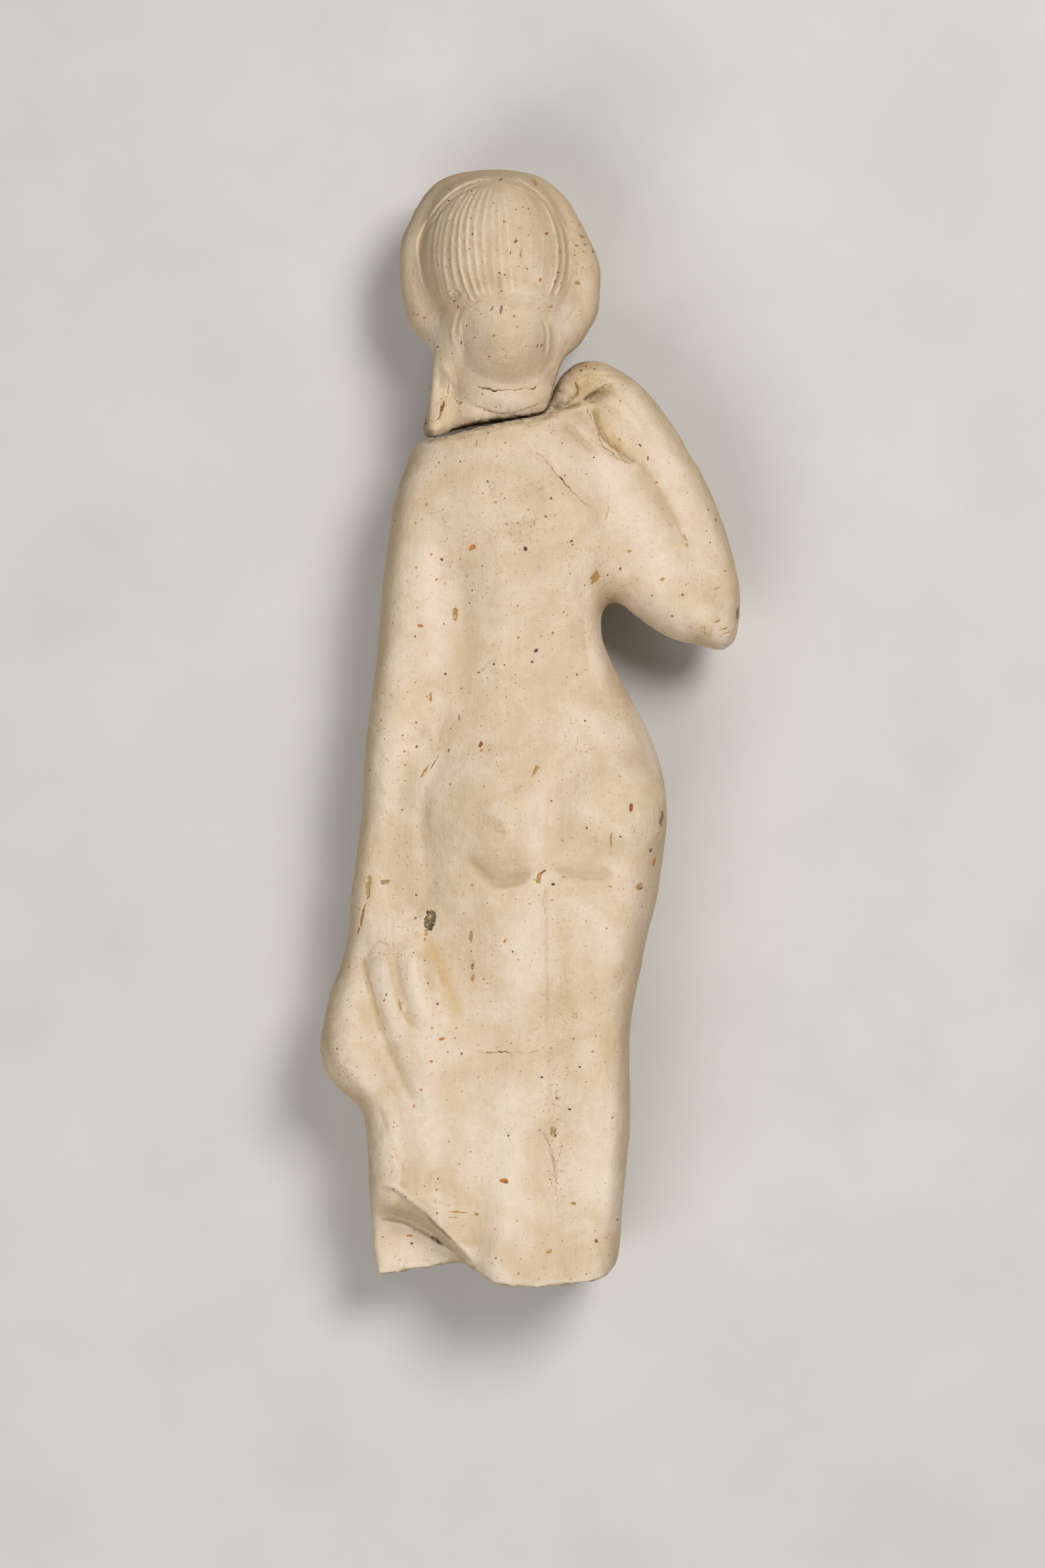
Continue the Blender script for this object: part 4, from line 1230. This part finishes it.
def weathered(clay, breaks, skin_height, break_height):
    """Pushes the points along their normals: a little on the skin, more on the breaks and the seam."""
    push = np.zeros(len(clay.at))
    rough = breaks * break_height
    seam = np.exp(-(((clay.at[:, 2] - SEAM_LEVEL) / SEAM_WIDTH) ** 2))
    seam *= ease(0.75, 0.35, np.abs(clay.out[:, 2]))
    for i, place in enumerate(clay.at):
        broad = noise.fractal(Vector(place * 0.22), 1.0, 2.0, 3)
        push[i] = skin_height * broad
        if rough[i] > 0.01:
            push[i] += rough[i] * (noise.fractal(Vector(place * 0.9), 0.9, 2.1, 4) - 0.25)
        if seam[i] > 0.02:
            burr = noise.fractal(Vector(place * (0.5, 0.5, 0.1)), 1.0, 2.0, 3) + 0.15
            push[i] += seam[i] * SEAM_HEIGHT * max(0.0, burr)
    clay.at += push[:, None] * clay.out


body.breaks, head.breaks = body_breaks(body), head_breaks(head)
weathered(body, body.breaks, 0.10, 0.22)
weathered(head, head.breaks, 0.06, 0.14)
head.at[:, 1] -= 0.50 * head.breaks * ease(14.5, 18.5, head.at[:, 2])
body.write()
head.write()
print("break points:", int((body.breaks > 0.5).sum()), int((head.breaks > 0.5).sum()))

# %% [markdown]
# ## Where dirt would settle
#
# Dirt stays in creases and inside the hollow. A handful of short rays from each point, spread over the
# directions it faces, tells how sheltered it is. The share that hits clay is kept on the points.

# %% Shelter, and the marks written to the mesh
SHELTER_RAYS = 14
GOLDEN_TURN = 2.399963


def sheltered(clay, reach):
    """The share of short rays from each point that hit the piece itself."""
    tree = tree_of(clay.piece)
    spread = []
    for i in range(SHELTER_RAYS):
        height = 0.25 + 0.72 * (i + 0.5) / SHELTER_RAYS
        turn = i * GOLDEN_TURN
        side = (1 - height * height) ** 0.5
        spread.append(Vector((side * np.cos(turn), side * np.sin(turn), height)))
    hits = np.zeros(len(clay.at))
    for i, (place, out) in enumerate(zip(clay.at, clay.out)):
        start = Vector((place + 0.06 * out) * MM)
        turn = Vector((0, 0, 1)).rotation_difference(Vector(out))
        hits[i] = sum(tree.ray_cast(start, turn @ way, reach * MM)[0] is not None for way in spread)
    return clay.spread(hits / len(spread), 2)


def mark(clay, name, values):
    """Keeps a number or a colour for each point as a named attribute."""
    colour = values.ndim == 2
    layer = clay.piece.data.attributes.new(name, "FLOAT_COLOR" if colour else "FLOAT", "POINT")
    if colour:
        values = np.hstack([values, np.ones((len(values), 1))])
        layer.data.foreach_set("color", values.astype(np.float32).ravel())
    else:
        layer.data.foreach_set("value", values.astype(np.float32))


for clay, reach in ((body, 5.0), (head, 3.0)):
    mark(clay, "shelter", sheltered(clay, reach))
    mark(clay, "crack", clay.crack)
    mark(clay, "broken", clay.breaks)
    hollow = ((clay.spread(clay.at, 10) - clay.at) * clay.out).sum(axis=1)
    mark(clay, "relief", np.clip(hollow / 0.06, -1, 1))
    mark(clay, "flank", ease(0.85, 0.25, np.abs(clay.out[:, 2])))
    mark(clay, "soil", clay.soil)
    mark(clay, "soil_tint", clay.soil_tint)
    mark(clay, "crumbs", clay.crumbs)
    mark(clay, "grain", clay.grain)
    mark(clay, "grain_tint", clay.tint)
    print(clay.piece.name, "marked")

# %% [markdown]
# A piece in the library stays under 200,000 triangles. The skin gives up points where it is smooth and plain,
# and keeps all of them at the cracks and grains. The marks on the points that go are blended into their
# neighbours.

# %% Thin the plain skin of the body
MOST_TRIANGLES = 196000


def triangles(piece):
    return sum(len(face.vertices) - 2 for face in piece.data.polygons)


def thinned(clay, most):
    """Collapses edges of the plain skin until the piece has no more than most triangles."""
    piece, full = clay.piece, clay.piece.data
    plain = piece.vertex_groups.new(name="plain")
    plain.add(np.flatnonzero((clay.crack < 0.05) & (clay.grain < 0.05)).tolist(), 1.0, "REPLACE")
    collapse = piece.modifiers.new("thinned", "DECIMATE")
    collapse.ratio = most / triangles(piece)
    collapse.vertex_group = plain.name
    graph = bpy.context.evaluated_depsgraph_get()
    shown = piece.evaluated_get(graph)
    thin = bpy.data.meshes.new_from_object(shown, preserve_all_data_layers=True, depsgraph=graph)
    piece.modifiers.clear()
    piece.vertex_groups.clear()
    piece.data = thin
    bpy.data.meshes.remove(full)
    thin.name = piece.name


thinned(body, MOST_TRIANGLES)
print("triangles:", triangles(body_clay), "body,", triangles(head_clay), "head")

# %% [markdown]
# ## Fired pipeclay
#
# The clay is cream, pinkish in some patches and yellow-olive in others, with dark and ochre specks all
# through it, and quite matt. The recipe works from the broad patches down to the specks, then lays the
# dirt, the breaks, the cracks and the larger grains on top. The bump carries only what is finer than the
# mesh: the tooth of the clay and the faint wiping marks that run along the body.

# %% Material: pipeclay
clay_mix = Recipe("pipeclay")
patches = clay_mix.span(clay_mix.noise(110, 5, 0.6, 0.6), 0.36, 0.64)
stains = clay_mix.span(clay_mix.noise(210, 6, 0.66, 0.8), 0.50, 0.76)
tone = clay_mix.mix(patches, (0.670, 0.530, 0.370), (0.790, 0.664, 0.535))
tone = clay_mix.mix(clay_mix.maths("MULTIPLY", stains, 0.50), tone, (0.600, 0.480, 0.300))
wiping = clay_mix.noise(1, 5, 0.65, 0.2, clay_mix.stretched((1500, 210, 800)))
tooth = clay_mix.noise(2600, 4, 0.7)
wiped = clay_mix.span(wiping, 0.40, 0.78, 0.0, 0.30)
wiped = clay_mix.maths("MULTIPLY", wiped, clay_mix.span(clay_mix.noise(130, 3), 0.40, 0.62))
tone = clay_mix.mix(wiped, tone, (0.50, 0.38, 0.24))
tone = clay_mix.mix(clay_mix.span(tooth, 0.35, 0.8, 0.0, 0.26), tone, (0.50, 0.39, 0.26))

# %% Darker head, soil on the flanks, clean crests and dull hollows
axes = clay_mix.add("ShaderNodeSeparateXYZ")
clay_mix.feed(axes.inputs[0], clay_mix.place)
tone = clay_mix.mix(clay_mix.span(axes.outputs[1], -0.03, 0.08, 0.0, 0.38), tone, (0.56, 0.43, 0.28))
flank = clay_mix.maths("MULTIPLY", clay_mix.attribute("flank"), clay_mix.span(patches, 0.0, 1.0, 0.55, 0.80))
tone = clay_mix.mix(flank, tone, (0.46, 0.335, 0.195))
sunk = clay_mix.span(clay_mix.attribute("relief"), 0.08, 0.9, 0.0, 0.50)
tone = clay_mix.mix(sunk, tone, (0.46, 0.345, 0.205))
worn = clay_mix.span(clay_mix.attribute("relief"), -0.10, -0.9, 0.0, 0.45)
tone = clay_mix.mix(worn, tone, (0.80, 0.69, 0.55))

# %% Specks, smudges and scratches that run all through the clay
def speckled(recipe, under, scale, largest, colours, amount):
    """Round specks of two colours, one to a cell of the pattern and many of them too small to see."""
    cells = recipe.add("ShaderNodeTexVoronoi", feature="F1")
    recipe.feed(cells.inputs["Vector"], recipe.place)
    cells.inputs["Scale"].default_value = scale
    pick = recipe.add("ShaderNodeSeparateColor")
    recipe.feed(pick.inputs[0], cells.outputs["Color"])
    size = recipe.span(pick.outputs[0], 0.35, 1.0, 0.0, largest)
    dot = recipe.span(recipe.maths("SUBTRACT", size, cells.outputs["Distance"]), -0.02, 0.03)
    tint = recipe.mix(recipe.span(pick.outputs[1], 0.45, 0.6), *colours)
    return dot, recipe.mix(recipe.maths("MULTIPLY", dot, amount), under, tint)


_, tone = speckled(clay_mix, tone, 2700, 0.20, ((0.330, 0.220, 0.120), (0.560, 0.400, 0.230)), 0.60)
dots, tone = speckled(clay_mix, tone, 620, 0.125, ((0.120, 0.072, 0.042), (0.430, 0.235, 0.075)), 0.90)
_, tone = speckled(clay_mix, tone, 1500, 0.20, ((0.230, 0.140, 0.075), (0.500, 0.290, 0.110)), 0.72)
smudge = clay_mix.span(clay_mix.noise(700, 4, 0.65, 1.4), 0.62, 0.70)
smudge = clay_mix.maths("MULTIPLY", smudge, clay_mix.span(clay_mix.noise(95, 3), 0.42, 0.62))
tone = clay_mix.mix(clay_mix.maths("MULTIPLY", smudge, 0.55), tone, (0.400, 0.260, 0.120))
scratch = clay_mix.span(clay_mix.noise(1, 2, 0.5, 0.6, clay_mix.stretched((3000, 700, 1500))), 0.70, 0.78)
for turn in (35, 68, -52):
    graze = clay_mix.noise(1, 2, 0.5, 0.5, clay_mix.stretched((2800, 800, 1500), turn))
    scratch = clay_mix.maths("MAXIMUM", scratch, clay_mix.span(graze, 0.72, 0.79))
tone = clay_mix.mix(clay_mix.maths("MULTIPLY", scratch, 0.60), tone, (0.420, 0.275, 0.130))

# %% Dirt in the creases, soil, breaks, cracks and grains
grit = clay_mix.noise(900, 5, 0.68)
grime = clay_mix.span(clay_mix.attribute("shelter"), 0.15, 0.85, 0.0, 0.65)
grime = clay_mix.maths("MULTIPLY", grime, clay_mix.span(grit, 0.2, 0.8, 0.6, 1.0))
tone = clay_mix.mix(grime, tone, (0.420, 0.315, 0.180))
patchy = clay_mix.span(grit, 0.25, 0.62, 0.45, 1.15)
soil = clay_mix.maths("MULTIPLY", clay_mix.attribute("soil"), patchy, True)
tone = clay_mix.mix(soil, tone, clay_mix.attribute("soil_tint", "Color"))
crumbs = clay_mix.span(clay_mix.noise(1700, 5, 0.7, 0.8), 0.55, 0.63)
crumbs = clay_mix.maths("MULTIPLY", crumbs, clay_mix.attribute("crumbs"))
tone = clay_mix.mix(crumbs, tone, (0.360, 0.245, 0.125))
broken = clay_mix.maths("MULTIPLY", clay_mix.attribute("broken"), clay_mix.span(grit, 0.3, 0.65, 0.15, 0.65))
coarse = clay_mix.span(clay_mix.noise(1500, 4, 0.7), 0.35, 0.65)
fracture = clay_mix.mix(coarse, (0.34, 0.23, 0.13), (0.60, 0.46, 0.31))
tone = clay_mix.mix(broken, tone, fracture)
crack = clay_mix.attribute("crack")
tone = clay_mix.mix(clay_mix.span(crack, 0.05, 0.45, 0.0, 0.40), tone, (0.400, 0.260, 0.120))
tone = clay_mix.mix(clay_mix.span(crack, 0.30, 0.72, 0.0, 0.95), tone, (0.075, 0.048, 0.028))
grain = clay_mix.attribute("grain")
gritty = clay_mix.noise(3400, 3, 0.6)
uneven = clay_mix.maths("MULTIPLY_ADD", gritty, 1.0)
uneven.node.inputs[2].default_value = -0.5
grain_tint = clay_mix.attribute("grain_tint", "Color")
grain_tint = clay_mix.mix(clay_mix.span(gritty, 0.44, 0.26, 0.0, 0.55), grain_tint, (0.070, 0.048, 0.030))
grain_tint = clay_mix.mix(clay_mix.span(gritty, 0.56, 0.74, 0.0, 0.35), grain_tint, (0.62, 0.50, 0.36))
cover = clay_mix.span(clay_mix.maths("ADD", grain, uneven), 0.44, 0.60)
cover = clay_mix.maths("MULTIPLY", cover, clay_mix.span(grain, 0.10, 0.40))
tone = clay_mix.mix(clay_mix.maths("MULTIPLY", cover, 0.95), tone, grain_tint)
clay_mix.feed(clay_mix.surface.inputs["Base Color"], tone)

# %% Roughness and bump of the pipeclay
sheen = clay_mix.span(clay_mix.noise(300, 4), 0.3, 0.7, 0.66, 0.84)
clay_mix.feed(clay_mix.surface.inputs["Roughness"], sheen)
clay_mix.surface.inputs["Specular IOR Level"].default_value = 0.35
fine = clay_mix.bump(tooth, 0.09, 0.7)
fine = clay_mix.bump(wiping, 0.17, 0.7, fine)
fine = clay_mix.bump(clay_mix.noise(520, 4, 0.6), 0.26, 0.6, fine)
fine = clay_mix.bump(clay_mix.noise(190, 3, 0.5), 0.40, 0.5, fine)
pits = clay_mix.maths("MULTIPLY", scratch, -0.6)
pits = clay_mix.maths("ADD", clay_mix.maths("MULTIPLY", dots, -1.0), pits)
fine = clay_mix.bump(pits, 0.07, 0.6, fine)
gravel = clay_mix.maths("MULTIPLY", clay_mix.attribute("broken"), clay_mix.noise(2200, 5, 0.75))
fine = clay_mix.bump(gravel, 0.30, 0.8, fine)
clay_mix.feed(clay_mix.surface.inputs["Normal"], fine)
for clay in (body, head):
    clay.piece.data.materials.append(clay_mix.material)
print("pipeclay nodes:", len(clay_mix.tree.nodes))

# %% [markdown]
# ## Hand the pieces to the frame
#
# Both pieces stand for their CAD node and ride on the one body. The two boxes go to a file, so that the size
# of the dressed figurine can be compared with the CAD.

# %% Ride, replace, measure and finish
for piece, node in ((body_clay, "body"), (head_clay, "head")):
    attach(piece, "root")
    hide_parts(node)
    print(piece.name, triangles(piece), "triangles")
